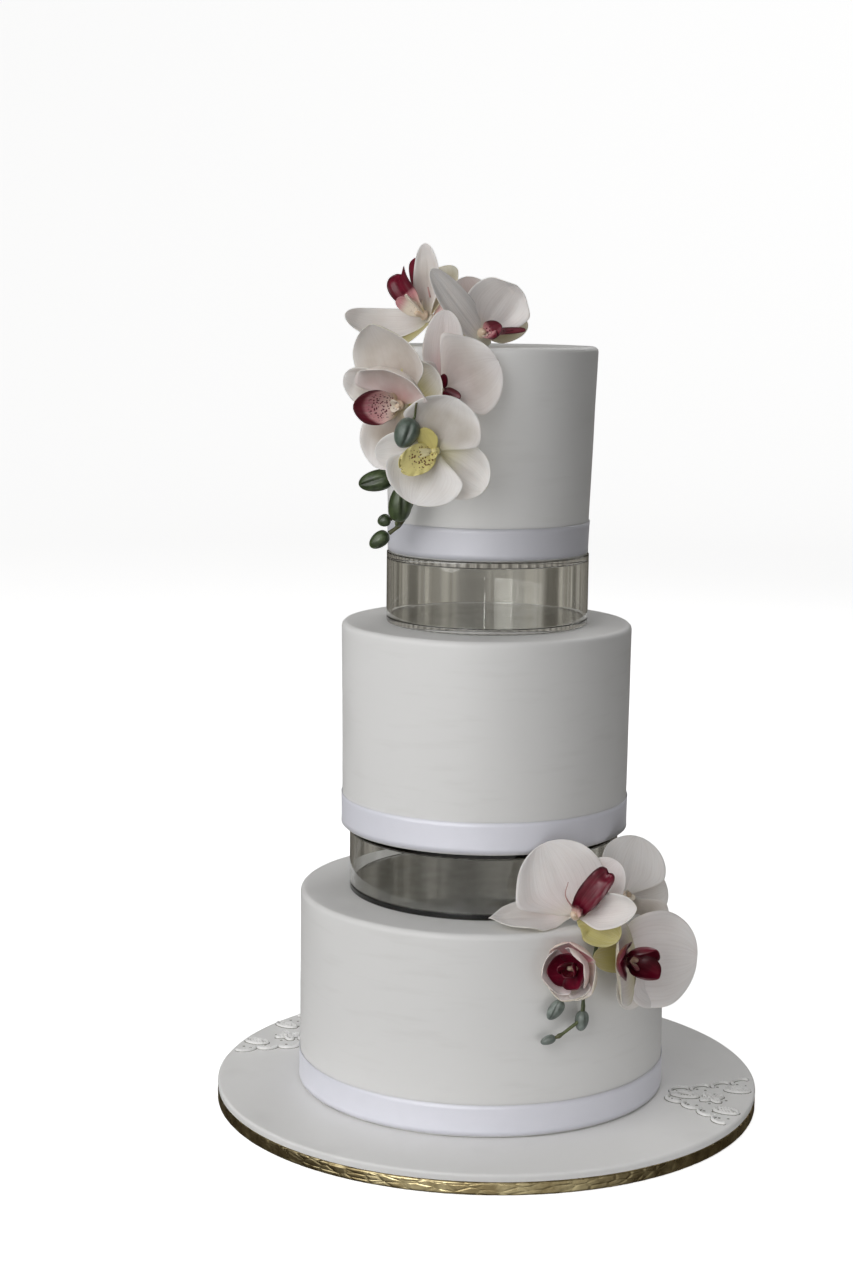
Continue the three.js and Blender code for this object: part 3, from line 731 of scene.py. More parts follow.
# A petal leaves the flower's heart at its clock angle in the flower's plane, 0 being up and 90
# to the right. It leans forward by lean, bends by curl over its length and by hook near its tip,
# and its edges cup forward by cup. Its left and right rims turn forward by rims, and bulge out
# by bulge. Ripple, wave and frill move its rim, crease is its middle groove, notch cuts its tip
# and point sharpens it. Its foot lies tail behind the heart, and sway moves its tip to the right
# of its clock line. Lengths are in millimetres, angles in degrees.
bladeBase = {"hook": 0, "twist": 0, "point": 1, "bulge": (0, 0), "rims": (0, 0), "frill": 0,
             "notch": 0, "crease": 0.6, "ripple": 0, "tail": 0, "sway": 0}
bladeKinds = {
    "petal": {"claw": 0.16, "fullest": 0.9, "cup": 0.25, "ripple": 0.05, "wave": 1.3, "layer": 0,
              "thick": (1.2, 0.7), "rows": 34, "cols": 24},
    "sepal": {"claw": 0.3, "fullest": 1.0, "cup": 0.2, "wave": 0.9, "layer": -2.4,
              "thick": (1.2, 0.7), "rows": 34, "cols": 20},
    "lobe": {"claw": 0.4, "fullest": 0.9, "cup": 0.7, "wave": 0.4, "crease": -0.5, "point": 0.7,
             "layer": 4.8, "thick": (1.3, 0.6), "rows": 26, "cols": 18},
}
heart = {"radius": 4.2, "thick": 2, "sides": 16}
column = {"tilt": 15, "outline": ((2.6, 1.6), (2.1, 4), (2, 6), (1.5, 7.6), (0, 8))}
wireSet = {"radius": 0.7, "sides": 6, "steps": 10, "zone": (0.3, 0.2, 0, 0.7)}


def smoothStep(x, low, high):
    t = np.clip((x - low) / (high - low), 0, 1)
    return t * t * (3 - 2 * t)


def hill(x, middle, width):  # 1 at the middle, falling away on both sides
    return np.exp(-((x - middle) / width) ** 2)


def bladePath(form, s):  # slope, way out and rise of a blade's middle line at its shares s
    lean, curl, hook = (math.radians(form[k]) for k in ("lean", "curl", "hook"))
    t = np.linspace(0, 1, 200)
    slope = lean + curl * t + hook * smoothStep(t, 0.55, 1)
    result = [np.interp(s, t, slope)]
    for way in (np.cos(slope), np.sin(slope)):
        steps = (way[1:] + way[:-1]) / 2 * form["long"] / (len(t) - 1)
        line = np.concatenate([[0], np.cumsum(steps)])
        result.append(np.interp(s, t, line) - np.interp(form["tail"] / form["long"], t, line))
    return result


def bladeSurface(form, s, v):  # the middle surface of a blade in its flower's frame
    clock = math.radians(form["clock"])
    slope, out, rise = bladePath(form, s)
    oval = np.sqrt(np.maximum(0, 1 - (2 * s ** form["fullest"] - 1) ** 2)) ** form["point"]
    claw = form["claw"]
    half = form["wide"] / 2 * oval * (claw + (1 - claw) * smoothStep(s, -0.1, 0.45))
    half = half * (1 + np.where(v < 0, *form["bulge"]) * hill(s, 0.35, 0.22))
    arc = form["cup"] * v * smoothStep(s, 0.02, 0.25)
    arc = np.where(np.abs(arc) < 1e-6, 1e-6, arc)
    flatSide = half * v * np.sin(arc) / arc
    flatUp = half * v * (1 - np.cos(arc)) / arc
    flatUp = flatUp + form["ripple"] * half * v * v * np.sin(9 * s + 2 * v)
    draw = random.Random(form["seed"])
    atTip = smoothStep(s, 0.8, 1)
    rim = np.abs(v) ** 2.5 * smoothStep(s, 0.05, 0.5) * (1 - 0.85 * atTip)
    for turns in (2.2, 3.7, 5.9):
        phase, size = draw.uniform(0, 6.28), draw.uniform(0.4, 1.0)
        flatUp = flatUp + form["wave"] * size / turns * rim * np.sin(turns * s * 2 + phase + v)
    flatUp = flatUp + form["frill"] * rim * np.sin(26 * s + 9 * v + draw.uniform(0, 6.28))
    turned = np.where(v < 0, *form["rims"]) * smoothStep(np.abs(v), 0.45, 1) ** 1.6
    turned = turned * (1 - atTip) + sum(form["rims"]) / 2 * atTip
    flatUp = flatUp + turned * smoothStep(s, 0.05, 0.45)
    groove = hill(v, 0, 0.09) * smoothStep(s, 0.02, 0.2) * (1 - smoothStep(s, 0.6, 0.95))
    flatUp = flatUp - form["crease"] * groove
    notch = form["notch"] * hill(v, 0, 0.3) * smoothStep(s, 0.6, 1)
    notch = notch + form["frill"] * np.sin(19 * v + draw.uniform(0, 6.28)) * smoothStep(s, 0.7, 1)
    twist = math.radians(form["twist"]) * smoothStep(s, 0, 0.6)
    side = flatSide * np.cos(twist) - flatUp * np.sin(twist) + form["sway"] * s * s
    up = flatSide * np.sin(twist) + flatUp * np.cos(twist)
    along = out - up * np.sin(slope) - notch * np.cos(slope)
    return np.stack([along * math.sin(clock) + side * math.cos(clock),
                     along * math.cos(clock) - side * math.sin(clock),
                     form["layer"] + rise + up * np.cos(slope) - notch * np.sin(slope)], axis=-1)


def flowerAxes(flower):
    turn, tilt = flower["face"]
    out = direction(turn, tilt)
    right = direction(turn + 90, 0)
    frameOf = Matrix((right, out.cross(right), out)).transposed().to_4x4()
    return Matrix.Translation(flower["at"]) @ frameOf


def carry(matrix, points):  # an array of points through a matrix
    m = np.array(matrix)
    return points @ m[:3, :3].T + m[:3, 3]


def routePoint(route, share):  # a point on a smooth line through the route's points
    place = share * (len(route) - 1)
    i = min(int(place), len(route) - 2)
    t = place - i
    a, b, c, d = (Vector(route[k]) for k in (max(i - 1, 0), i, i + 1, min(i + 2, len(route) - 1)))
    if i == 0:
        a = b * 2 - c
    if i == len(route) - 2:
        d = c * 2 - b
    return (b * 2 + (c - a) * t + (a * 2 - b * 5 + c * 4 - d) * t * t
            + (b * 3 - a - c * 3 + d) * t ** 3) / 2


def clearOfCake(points, room=1.0):  # moves points that would lie in a tier out on to it
    points = points.copy()
    x, y, z = points[..., 0], points[..., 1], points[..., 2]
    middle = cakeX / mm
    walls = [(t["low"], t["high"], t["base"], t["top"]) for t in tierSet.values()]
    walls += [(d["low"], d["high"], d["radius"], d["radius"]) for d in separatorSet.values()]
    for size in walls:
        low, high, base, head = (value / mm for value in size)
        reach = np.hypot(x - middle, y)
        wall = base + (head - base) * np.clip((z - low) / high, 0, 1) + room
        sideways, upwards = wall - reach, low + high + room - z
        inside = (z > low - 0.2) & (upwards > 0) & (sideways > 0)
        lift = inside & (upwards < sideways)
        z[lift] = low + high + room
        push = inside & ~lift
        share = wall[push] / np.maximum(reach[push], 1)
        x[push] = middle + (x[push] - middle) * share
        y[push] = y[push] * share
    return points


def sheetShell(middle, thick):  # a closed thin solid round a grid of points, tip row last
    normals = np.cross(np.gradient(middle, axis=1), np.gradient(middle, axis=0))
    normals[-1] = normals[-2]
    normals /= np.linalg.norm(normals, axis=-1, keepdims=True) + 1e-12
    half = thick[..., None] / 2
    front, back = middle + normals * half, middle - normals * half
    rims = []
    for j, inner in ((0, 1), (-1, -2)):
        outward = middle[:, j] - middle[:, inner]
        outward /= np.linalg.norm(outward, axis=-1, keepdims=True) + 1e-12
        rims.append(middle[:, j] + outward * half[:, j] * 0.9)
    points = []
    for i in range(len(middle) - 1):
        points += [*front[i], rims[1][i], *back[i][::-1], rims[0][i]]
    ring, tip = 2 * middle.shape[1] + 2, len(points)
    faces = tubeFaces(len(middle) - 1, ring)
    faces += [(tip - ring + k, tip - ring + (k + 1) % ring, tip) for k in range(ring)]
    faces.append(tuple(range(ring))[::-1])
    return points + [middle[-1].mean(axis=0)], faces


def shellCoords(s, v):  # the length, width and side of each point that sheetShell makes
    table = []
    for along, across in zip(s[:-1], v[:-1]):
        front = [(a, b, 1.0) for a, b in zip(along, across)]
        back = [(a, b, 0.0) for a, b in zip(along[::-1], across[::-1])]
        table += [*front, (along[-1], 1.0, 0.5), *back, (along[0], -1.0, 0.5)]
    return np.array(table + [(1.0, 0.0, 0.5)])


def turnedShell(outline, sides):  # a closed outline of (radius, height) about the local Z
    points = ringPoints(outline[1:-1], sides)
    faces = tubeFaces(len(outline) - 2, sides)
    foot, head = len(points), len(points) + 1
    points += [(0, 0, outline[0][1]), (0, 0, outline[-1][1])]
    last = foot - sides
    for k in range(sides):
        n = (k + 1) % sides
        faces += [(n, k, foot), (last + k, last + n, head)]
    return np.array(points, float), faces


class Growth:  # gathers the parts of one flower piece, with their colour zones
    def __init__(self):
        self.points, self.faces, self.map, self.zones = [], [], [], []

    def add(self, points, faces, coords, zones):
        first = len(self.points)
        self.points += [tuple(p) for p in points]
        self.faces += [tuple(first + k for k in face) for face in faces]
        self.map += [(0.5 + v / 2, s) for s, v, side in coords]
        self.zones += [tuple(z) for z in zones]

    def addPlain(self, points, faces, zone):  # of one colour
        self.add(points, faces, [(0, 0, 1)] * len(points), [zone] * len(points))

    def addBlade(self, kind, form, matrix, zoneRule):
        form = {**bladeBase, **bladeKinds[kind], **form}
        start = 1.5 / form["long"]
        s = start + (1 - start) * np.sin(np.linspace(0, math.pi / 2, form["rows"] + 1))
        s, v = np.meshgrid(s, np.linspace(-1, 1, form["cols"] + 1), indexing="ij")
        middle = clearOfCake(carry(matrix, bladeSurface(form, s, v)))
        inMiddle, atRim = form["thick"]
        thick = (inMiddle + (atRim - inMiddle) * v * v) * (1 - 0.3 * smoothStep(s, 0.8, 1))
        coords = shellCoords(s, v)
        self.add(*sheetShell(middle, thick), coords, zoneRule(coords, form))

    def piece(self, name, finish):
        obj = newObject(name, [Vector(p) * mm for p in self.points], self.faces)
        mesh = obj.data
        corners = np.zeros(len(mesh.loops), int)
        mesh.loops.foreach_get("vertex_index", corners)
        layer = mesh.uv_layers.new(name="bladeMap")
        layer.data.foreach_set("uv", np.array(self.map)[corners].ravel())
        zones = mesh.attributes.new("zones", "FLOAT_COLOR", "POINT")
        zones.data.foreach_set("color", np.array(self.zones, float).ravel())
        mesh.polygons.foreach_set("use_smooth", [True] * len(mesh.polygons))
        mesh.materials.append(finish)
        closeUp(mesh, merge=False)
        return obj


# Colour zones of petals: red is the front side, green the pink blush, blue the yellow-green
# throat and alpha tan, which is painted shade where shade falls in a blade's folds and hollows.
# Of lips: red is crimson, green is yellow, blue the speckles and alpha pink.
def petalZones(coords, form):
    s, v, side = coords.T
    inner = 1 - smoothStep(s, 0.05, 0.8)
    pink = form["blush"] * (0.25 + 0.75 * inner) * (1 - 0.6 * v * v)
    green = np.maximum(1 - smoothStep(s, 0.03, form["throatEnd"] + 0.08 * (1 - side)),
                       form["green"]) * form["throat"]
    # tan is painted shade, strongest along the middle and base and fading towards the rims and tip
    tan = form["tan"] * (1 - 0.75 * np.abs(v) ** 3) * (1 - smoothStep(s, 0.6, 1.0))
    return np.stack([side, pink, green, tan], axis=-1)


def lipZones(coords, form):
    s, v, side = coords.T
    first, last = form["red"]
    crimson = smoothStep(s + form["redRim"] * v * v, first, last)
    crimson = np.maximum(crimson, form["redBack"] * (1 - side) * smoothStep(s, 0.1, 0.3))
    pink = form["pink"] * smoothStep(s, first - form["pinkFrom"], first)
    gold = np.maximum(form["yellow"], 0.6 * (1 - smoothStep(s, 0.02, 0.22)))
    spots = form["spots"] * (1 - v * v) * (1 - smoothStep(s, 0.45, 0.85)) * side
    return np.stack([crimson, gold, spots, pink], axis=-1)


def blade(clock, long, wide, lean, curl=0, **apart):
    return {"clock": clock, "long": long, "wide": wide, "lean": lean, "curl": curl, **apart}


# Blade tints; tan, here and in the rows of the flowers below, is the strength of painted shade over a
# blade's middle and base.
petalTints = {"blush": 0.2, "throat": 0.4, "throatEnd": 0.3, "green": 0, "tan": 0.1}
lobeTints = {"red": (0.15, 0.4), "redRim": 0, "redBack": 1, "pink": 0.8, "pinkFrom": 0.35,
             "yellow": 0, "spots": 0.6}
flowers = [
    {"name": "front", "at": (-46, -118, 554), "face": (-8, 0), "blush": 0.02, "throat": 0.5,
     "petals": [
         blade(24, 46, 60, 12, rims=(5, 0), bulge=(0.1, 0), tan=0.8),
         blade(199, 45, 63, 18, rims=(-1, 2), cup=0.4, tan=0.2)],
     "sepals": [
         blade(126, 50, 44, -3, crease=1.8, throatEnd=0.6, throat=0.7, tan=0.3, rims=(3, 2.5), hook=20),
         blade(267, 47, 32, 6, rims=(1, 1), throatEnd=0.6, throat=0.8),
         blade(330, 24, 22, 2, green=0.8, throat=0.9)],
     "lip": {"clock": 236, "column": 0.2, "lobes": [
         blade(240, 31, 24, 34, -10, frill=0.8, cup=0.6, notch=4, claw=0.7, wave=1),
         blade(333, 21, 15, 18, 8, cup=0.3, frill=0.4, spots=0, yellow=0.9),
         blade(262, 22, 7, 40, -35, cup=0.9, spots=0, yellow=0.35),
         blade(180, 8, 6, 40, 10, cup=0.5)],
      "tints": {"red": (2, 3), "redBack": 0, "pink": 0, "yellow": 0.8, "spots": 1}},
     "yellow": 1},
    {"name": "left", "at": (-72, -104, 588), "face": (-35, -5), "blush": 0.12, "throat": 0.5,
     "petals": [
         blade(10, 41, 70, 26, rims=(5, 5), hook=30, tan=1, blush=0.7, throat=0.2),
         blade(205, 54, 48, 8, tan=1, rims=(2, 2), wave=2.5)],
     "sepals": [
         blade(354, 69, 66, 0, 15, cup=0.7, hook=35, tan=0.9, wave=2.4, sway=-8, bulge=(0, 0.2)),
         blade(296, 53, 34, 15, tan=0.9, rims=(2, 4)),
         blade(50, 40, 42, -9, throat=1.4, throatEnd=1.05, rims=(3, 2))],
     "lip": {"clock": 272, "column": 0.3, "lobes": [
         blade(274, 37, 35, 36, 36, cup=1.25, fullest=1.2, claw=0.8, crease=0, point=0.6, wave=1.6),
         blade(340, 8, 7, 50, red=(2, 3), redBack=0),
         blade(205, 8, 7, 50, 10, red=(2, 3), redBack=0)],
      "tints": {"red": (0.7, 0.84), "redRim": 0.34, "spots": 0.72, "pink": 1, "pinkFrom": 0.85}}},
    {"name": "middle", "at": (-43, -96, 599), "face": (6, 5), "blush": 0.4, "throat": 0.1,
     "petals": [
         blade(63, 50, 64, 8, rims=(-3, 2), tan=0.6, wave=2, blush=0.3, bulge=(0.24, 0)),
         blade(290, 30, 36, 8, blush=0.9)],
     "sepals": [
         blade(3, 62, 32, 8, tan=0.1, blush=0.7),
         blade(130, 26, 26, 4),
         blade(222, 22, 22, 4)],
     "lip": {"clock": 180, "column": 0.3, "lobes": [
         blade(180, 20, 14, 50, -20),
         blade(112, 17, 9, 22, 5),
         blade(300, 12, 8, 50, 10),
         blade(6, 17, 8, 42, 10)],
      "tints": {"red": (0.02, 0.1)}}},
    {"name": "top_left", "at": (-54, -56, 654), "face": (-60, 25), "blush": 0.1, "throat": 0.3,
     "petals": [
         blade(2, 58, 23, 26, 6, twist=-42, tan=0.6, rims=(2, 2), wave=1.8, claw=0.5),
         blade(-21, 50, 50, -4, twist=-15, tan=1, green=0.5, throat=0.7)],
     "sepals": [
         blade(244, 76, 30, 8, 75, rims=(3, 1), tan=0.35, crease=0.2),
         blade(227, 55, 28, 6, 54, green=1, throat=0.7, tan=1),
         blade(60, 28, 28, -8, blush=0.9)],
     "lip": {"clock": 330, "lobes": [
         blade(328, 43, 28, 58, -5, fullest=1.9, claw=0.45, notch=7, cup=0.9, hook=-55,
               rims=(-3, -3), point=0.5),
         blade(326, 52, 14, 16, fullest=2.4, claw=0.1, cup=0.2, red=(0.5, 0.6), pink=0.3),
         blade(285, 25, 13, 66, 10, red=(0.9, 1.2)),
         blade(8, 23, 12, 66, 10, red=(2, 3), redBack=0, pink=0.4)],
      "wire": ((4, 14, 8), (-7, 34, 17), (-12, 44, 24)),
      "tints": {"red": (0.46, 0.52), "pink": 1, "redBack": 0.3, "spots": 0.3}}},
    {"name": "top_right", "at": (-14, -60, 642), "face": (30, 10), "blush": 0.12, "throat": 0.4,
     "petals": [
         blade(31, 52, 52, 20, 10, hook=40, bulge=(0.1, -0.15), tan=0.1, rims=(0, 6)),
         blade(-47, 86, 24, 16, rims=(2, -2), tan=0, fullest=0.85, tail=15, claw=0.8, blush=0,
               twist=25)],
     "sepals": [
         blade(-10, 46, 42, 0, blush=1, tan=0.5),
         blade(238, 22, 20, 0, green=0.8, throat=0.8),
         blade(80, 43, 22, 6, 10, tan=1, green=0.5, throat=0.8)],
     "lip": {"clock": 100, "column": 0.6, "lobes": [
         blade(90, 34, 6, 32, -10, cup=0.8),
         blade(70, 18, 17, 54, 10, cup=0.9),
         blade(140, 15, 12, 58, 10, red=(0.6, 0.9))],
      "tints": {"red": (0.3, 0.55), "pink": 1}}},
    {"name": "cup", "at": (70, -145, 155), "face": (-26, 4), "blush": 0.5, "throat": 0.1,
     "petals": [
         blade(60, 31, 40, 14, 78, cup=1, tan=0.2, point=0.55, blush=2),
         blade(250, 33, 42, 12, 72, cup=1, tan=0.2, point=0.55, blush=1)],
     "sepals": [
         blade(0, 34, 44, 2, 82, cup=0.9, blush=2.4, point=0.55),
         blade(125, 36, 40, 2, 76, cup=0.9, throat=0.5, throatEnd=0.7, point=0.55),
         blade(190, 34, 42, 2, 76, cup=0.9, tan=0.2, point=0.55)],
     "lip": {"clock": 120, "lobes": [
         blade(262, 24, 28, 14, 60, cup=0.8),
         blade(20, 22, 26, 16, 58, cup=0.8),
         blade(140, 22, 27, 18, 52, cup=0.8),
         blade(80, 16, 12, 48, 40, red=(0.6, 1.1)),
         blade(300, 22, 14, 42, 60, cup=1),
         blade(200, 18, 14, 40, 70, cup=1)],
      "tints": {"red": (0.02, 0.15), "pink": 1}}},
    {"name": "step", "at": (69, -121, 190), "face": (-6, 20), "blush": 0.22, "throat": 0.2,
     "petals": [
         blade(334, 62, 70, 12, claw=0.4, bulge=(0.15, 0), rims=(4, -2), wave=2),
         blade(36, 54, 42, 4, tan=0.2, blush=0.6)],
     "sepals": [
         blade(263, 70, 38, 14, twist=-55, point=2.4, rims=(0, 4)),
         blade(84, 60, 30, 30, cup=0.6, rims=(2, 3), hook=10, throat=0.05),
         blade(116, 43, 30, 18, green=1, throat=0.95, tan=0.9, rims=(3, 2))],
     "lip": {"clock": 38, "column": 0.7, "lobes": [
         blade(38, 47, 26, 42, -35, fullest=1.5, claw=0.6, cup=1.3, notch=4, rims=(-3, -3),
               wave=2.2, point=0.4, frill=0.6),
         blade(20, 13, 8, 55, 10, red=(0.5, 0.9)),
         blade(62, 13, 8, 55, 10, red=(0.5, 0.9))],
      "wire": ((-2, 5, 6), (-8, 14, 13), (-6, 24, 17)),
      "tints": {"red": (0.02, 0.15), "pink": 0.6, "spots": 0}}},
    {"name": "side", "at": (121, -114, 154), "face": (38, 5), "blush": 0.22, "throat": 0.2,
     "petals": [
         blade(96, 70, 78, 17, tail=20, claw=1, fullest=0.9),
         blade(142, 42, 58, 6)],
     "sepals": [
         blade(268, 44, 66, 12, 10, throat=0.7, throatEnd=0.7, hook=50, tan=0.2),
         blade(280, 47, 24, 0, green=1, throat=0.9, tan=1),
         blade(206, 42, 34, 4, tan=0.2)],
     "lip": {"clock": 285, "shift": (-19, 4, 3), "lobes": [
         blade(280, 44, 36, 12, 55, cup=1.0, wave=1.8),
         blade(18, 33, 34, 34, 70, cup=1.1, wave=1.8),
         blade(156, 33, 30, 34, 62, cup=1.1, wave=1.8),
         blade(330, 20, 14, 50, 10, red=(0.7, 1.2)),
         blade(215, 16, 12, 50, 20, red=(0.7, 1.2))],
      "tints": {"red": (0.05, 0.22), "pink": 1}}},
    {"name": "back", "at": (110, -76, 194), "face": (22, 22), "blush": 0.05, "throat": 0.1,
     "petals": [
         blade(20, 50, 58, 6, tan=0, wave=2.4),
         blade(160, 46, 54, 4, tan=1, rims=(2, 2))],
     "sepals": [
         blade(84, 40, 40, 0, tan=0.3),
         blade(236, 20, 20, 0),
         blade(320, 28, 22, 0)],
     "lip": {"clock": 225, "column": 0.4, "lobes": [
         blade(225, 14, 9, 40, -30),
         blade(287, 9, 8, 45, 20),
         blade(163, 9, 8, 45, 20)],
      "tints": {"redBack": 0, "red": (1.2, 1.6), "pink": 0.1, "spots": 0}}},
]


def camel(name):
    first, *rest = name.split("_")
    return first + "".join(word.title() for word in rest)


def makeWhorl(flower, kind, matrix, seed):
    growth = Growth()
    half, radius = heart["thick"] / 2, heart["radius"]
    points, faces = turnedShell([(0, -half), (radius * 0.9, -half), (radius, -half * 0.4),
                                 (radius, half * 0.4), (radius * 0.9, half), (0, half)],
                                heart["sides"])
    points[:, 2] += bladeKinds[kind]["layer"]
    growth.addPlain(carry(matrix, points), faces, (1, flower["blush"], flower["throat"], 0))
    tints = {**petalTints, "blush": flower["blush"], "throat": flower["throat"]}
    for number, row in enumerate(flower[kind + "s"]):
        growth.addBlade(kind, {**tints, **row, "seed": seed + number}, matrix, petalZones)
    finish = petalSkin if kind == "petal" else sepalSkin
    piece = growth.piece(f"{camel(flower['name'])}Orchid{kind.title()}s", finish)
    return standFor(piece, f"orchid_{flower['name']}_{kind}s")


def addWire(growth, matrix, route):  # a thin bent thread, finer at its end
    sides, steps = wireSet["sides"], wireSet["steps"]
    middle = [routePoint(route, k / steps) for k in range(steps + 1)]
    points = []
    for k, spot in enumerate(middle):
        ahead = (middle[min(k + 1, steps)] - middle[max(k - 1, 0)]).normalized()
        across = ahead.orthogonal().normalized()
        other = ahead.cross(across)
        thin = wireSet["radius"] * (1 - 0.6 * k / steps)
        points += [spot + across * x + other * y for x, y, z in ringPoints([(thin, 0)], sides)]
    faces = tubeFaces(steps + 1, sides)
    faces += [tuple(range(sides))[::-1], tuple(steps * sides + j for j in range(sides))]
    growth.addPlain(carry(matrix, np.array(points)), faces, wireSet["zone"])


def makeLip(flower, matrix, seed):
    growth = Growth()
    lip, yellow, radius = flower["lip"], flower.get("yellow", 0), heart["radius"]
    matrix = matrix @ Matrix.Translation(lip.get("shift", (0, 0, 0)))
    outline = [(0, -1), (radius * 0.9, -1), (radius, 0), (radius * 0.9, 1)]
    outline += [(r, 1 + z * lip.get("column", 1)) for r, z in column["outline"]]
    points, faces = turnedShell(outline, heart["sides"])
    points = carry(Matrix.Rotation(math.radians(-(lip["clock"] + 180)), 4, "Z")
                   @ Matrix.Rotation(math.radians(-column["tilt"]), 4, "X"), points)
    points[:, 2] += bladeKinds["lobe"]["layer"]
    growth.addPlain(carry(matrix, points), faces,
                    (0, 0.35 + 0.4 * yellow, 0, 0.25 * (1 - yellow)))
    for number, row in enumerate(lip["lobes"]):
        form = {**lobeTints, **lip["tints"], **row, "seed": seed + number}
        growth.addBlade("lobe", form, matrix, lipZones)
    if "wire" in lip:
        addWire(growth, matrix, lip["wire"])
    finish, slot = (yellowLip, "yellow_lip") if yellow else (crimsonLip, "crimson_lip")
    standFor(growth.piece(f"{camel(flower['name'])}OrchidLip", finish),
             f"orchid_{flower['name']}_lip")


def bladeZones(skin):  # the four colour zones
    colour, alpha = skin.add("Attribute", out=("Color", "Alpha"), attribute_name="zones")
    return *skin.add("SeparateColor", colour, out=(0, 1, 2)), alpha


def petalFinish(name, body, back):
    skin = Finish(name, Roughness=0.55, Sheen_Weight=0.1, Subsurface_Weight=0.15,
                  Subsurface_Scale=2 * mm, Subsurface_Radius=(1.0, 0.8, 0.7))
    front, blush, throat, tan = bladeZones(skin)
    grid = skin.add("UVMap", uv_map="bladeMap")
    patches = skin.noise(45.0, 3.0)
    cloud = patches.remap(0.3, 0.7, 0.55, 1.0)
    veins = skin.noise(1.0, 3.0, 0.6, coords=skin.stretched(34, 1.4, 1, coords=grid))
    colour = skin.mix(front, back, body)
    # painted shade: a greyish tan over the tan zone, in patches
    colour = skin.mix(tan * cloud, colour, shade(172, 162, 146))
    colour = skin.mix(blush * cloud, colour, shade(224, 168, 174))
    colour = skin.mix(throat * veins.remap(0.3, 0.7, 0.65, 1.0), colour, shade(188, 180, 82))
    colour = skin.mix(veins.remap(0.45, 0.75, 0.0, 0.2), colour, shade(186, 172, 164))
    skin.bump(veins, 0.4 * mm, 0.6)
    skin.bump(skin.noise(420.0), 0.1 * mm, 0.6)
    return skin.done(colour, patches.remap(0.35, 0.65, 0.42, 0.62))


def lipFinish(name, deep, white, gold, speck):
    skin = Finish(name, Roughness=0.36, Coat_Weight=0.14, Coat_Roughness=0.12)
    red, yellow, spotted, pink = bladeZones(skin)
    grid = skin.add("UVMap", uv_map="bladeMap")
    veins = skin.noise(1.0, 3.0, coords=skin.stretched(22, 2.0, 1, coords=grid))
    patches = skin.noise(150.0, 3.0)
    colour = skin.mix(yellow, white, gold)
    colour = skin.mix(pink * veins.remap(0.35, 0.65, 0.7, 1.0), colour, shade(206, 128, 140))
    red = skin.calc("ADD", red, veins.remap(0.35, 0.65, -0.04, 0.04), clamp=True)
    crimsonAndEdgeShade = skin.mix(patches.remap(0.35, 0.65), deep, tuple(c * 1.4 for c in deep))
    # painted shade: the lobes darken to near black towards their edges, in patches
    edge = abs(skin.split(grid)[0] - 0.5).remap(0.28, 0.5, 0.0, 0.75, smooth=True)
    paintedEdgeShade = edge * patches.remap(0.35, 0.6, 0.5, 1.0)
    crimsonAndEdgeShade = skin.mix(paintedEdgeShade, crimsonAndEdgeShade, tuple(c * 0.2 for c in deep))
    colour = skin.mix(red, colour, crimsonAndEdgeShade)
    spots = skin.add("TexVoronoi", Vector=skin.coords, Scale=520.0)
    dots = (spots.remap(0.3, 0.45, 1.0, 0.0) * spotted).remap(0.2, 0.5)
    skin.bump(veins, 0.2 * mm, 0.35)
    return skin.done(skin.mix(dots, colour, speck))


petalSkin = petalFinish("orchidPetal", shade(238, 235, 233), shade(228, 222, 212))
sepalSkin = petalFinish("orchidSepal", shade(237, 234, 231), shade(218, 212, 194))
crimsonLip = lipFinish("crimsonLip", shade(98, 3, 32), shade(238, 228, 212),
                       shade(206, 192, 118), shade(96, 10, 40))
yellowLip = lipFinish("yellowLip", shade(150, 60, 40), shade(238, 230, 200),
                      shade(218, 205, 118), shade(112, 70, 34))
thinPieces = []
for number, flower in enumerate(flowers):
    axes = flowerAxes(flower)
    thinPieces.append(makeWhorl(flower, "petal", axes, 10 * number))
    thinPieces.append(makeWhorl(flower, "sepal", axes, 10 * number + 5))
    makeLip(flower, axes, 100 + 10 * number)
lightThrough(thinPieces)
print("orchids are ready")

# A spray's stem runs over a tier's rim and down beside it. Each flower's stalk leaves it at a
# share of its length, and so does a bud's, unless the share is 1 and the bud ends the stem.
# A bud is (foot, tip, width, share) and may have points that its stalk runs through.
# Millimetres.
stalkRadius = {"main": 2.2, "flower": 1.5, "bud": 1.1}
sprays = {
    "top": {
        "finish": "bud", "thin": 1,
        "flowers": {"front": 0.62, "left": 0.48, "middle": 0.4, "top_left": 0.1,
                    "top_right": 0.02},
        "stem": [(-34, -46, 634.8), (-46, -66, 635), (-53, -77, 629), (-54, -79, 610),
                 (-56, -76, 580), (-60, -73, 550), (-64, -73, 522), (-66, -76, 508),
                 (-74, -74, 493), (-83, -72, 485)],
        "buds": [((-63, -126, 578), (-73, -131, 557), 19, 0.45, (-60, -128, 591)),
                 ((-80, -80, 530), (-107, -80, 524), 17, 0.72),
                 ((-76, -84, 496), (-71, -90, 526), 18.5, 0.9),
                 ((-82, -76, 497), (-92, -77, 494), 10, 0.84),
                 ((-84, -72, 485), (-98, -72, 474), 12.5, 1)],
    },
    "lower": {
        "finish": "pale_bud", "thin": 0.85,
        "flowers": {"cup": 0.66, "step": 0.12, "side": 0.34, "back": 0.02},
        "stem": [(95, -85, 184), (90, -108, 184.5), (87, -124, 182), (85.5, -131, 172),
                 (84, -131.5, 160), (80, -134, 147), (76, -137, 136), (75.5, -139, 118)],
        "buds": [((59, -147, 128), (48, -150, 114), 11, 0.86),
                 ((75.5, -139, 118), (73.6, -141, 102), 11, 1),
                 ((54, -149, 99), (42.5, -151, 95), 7.5, 0.97, (73, -142.5, 112),
                  (65, -146, 105.5))],
    },
}


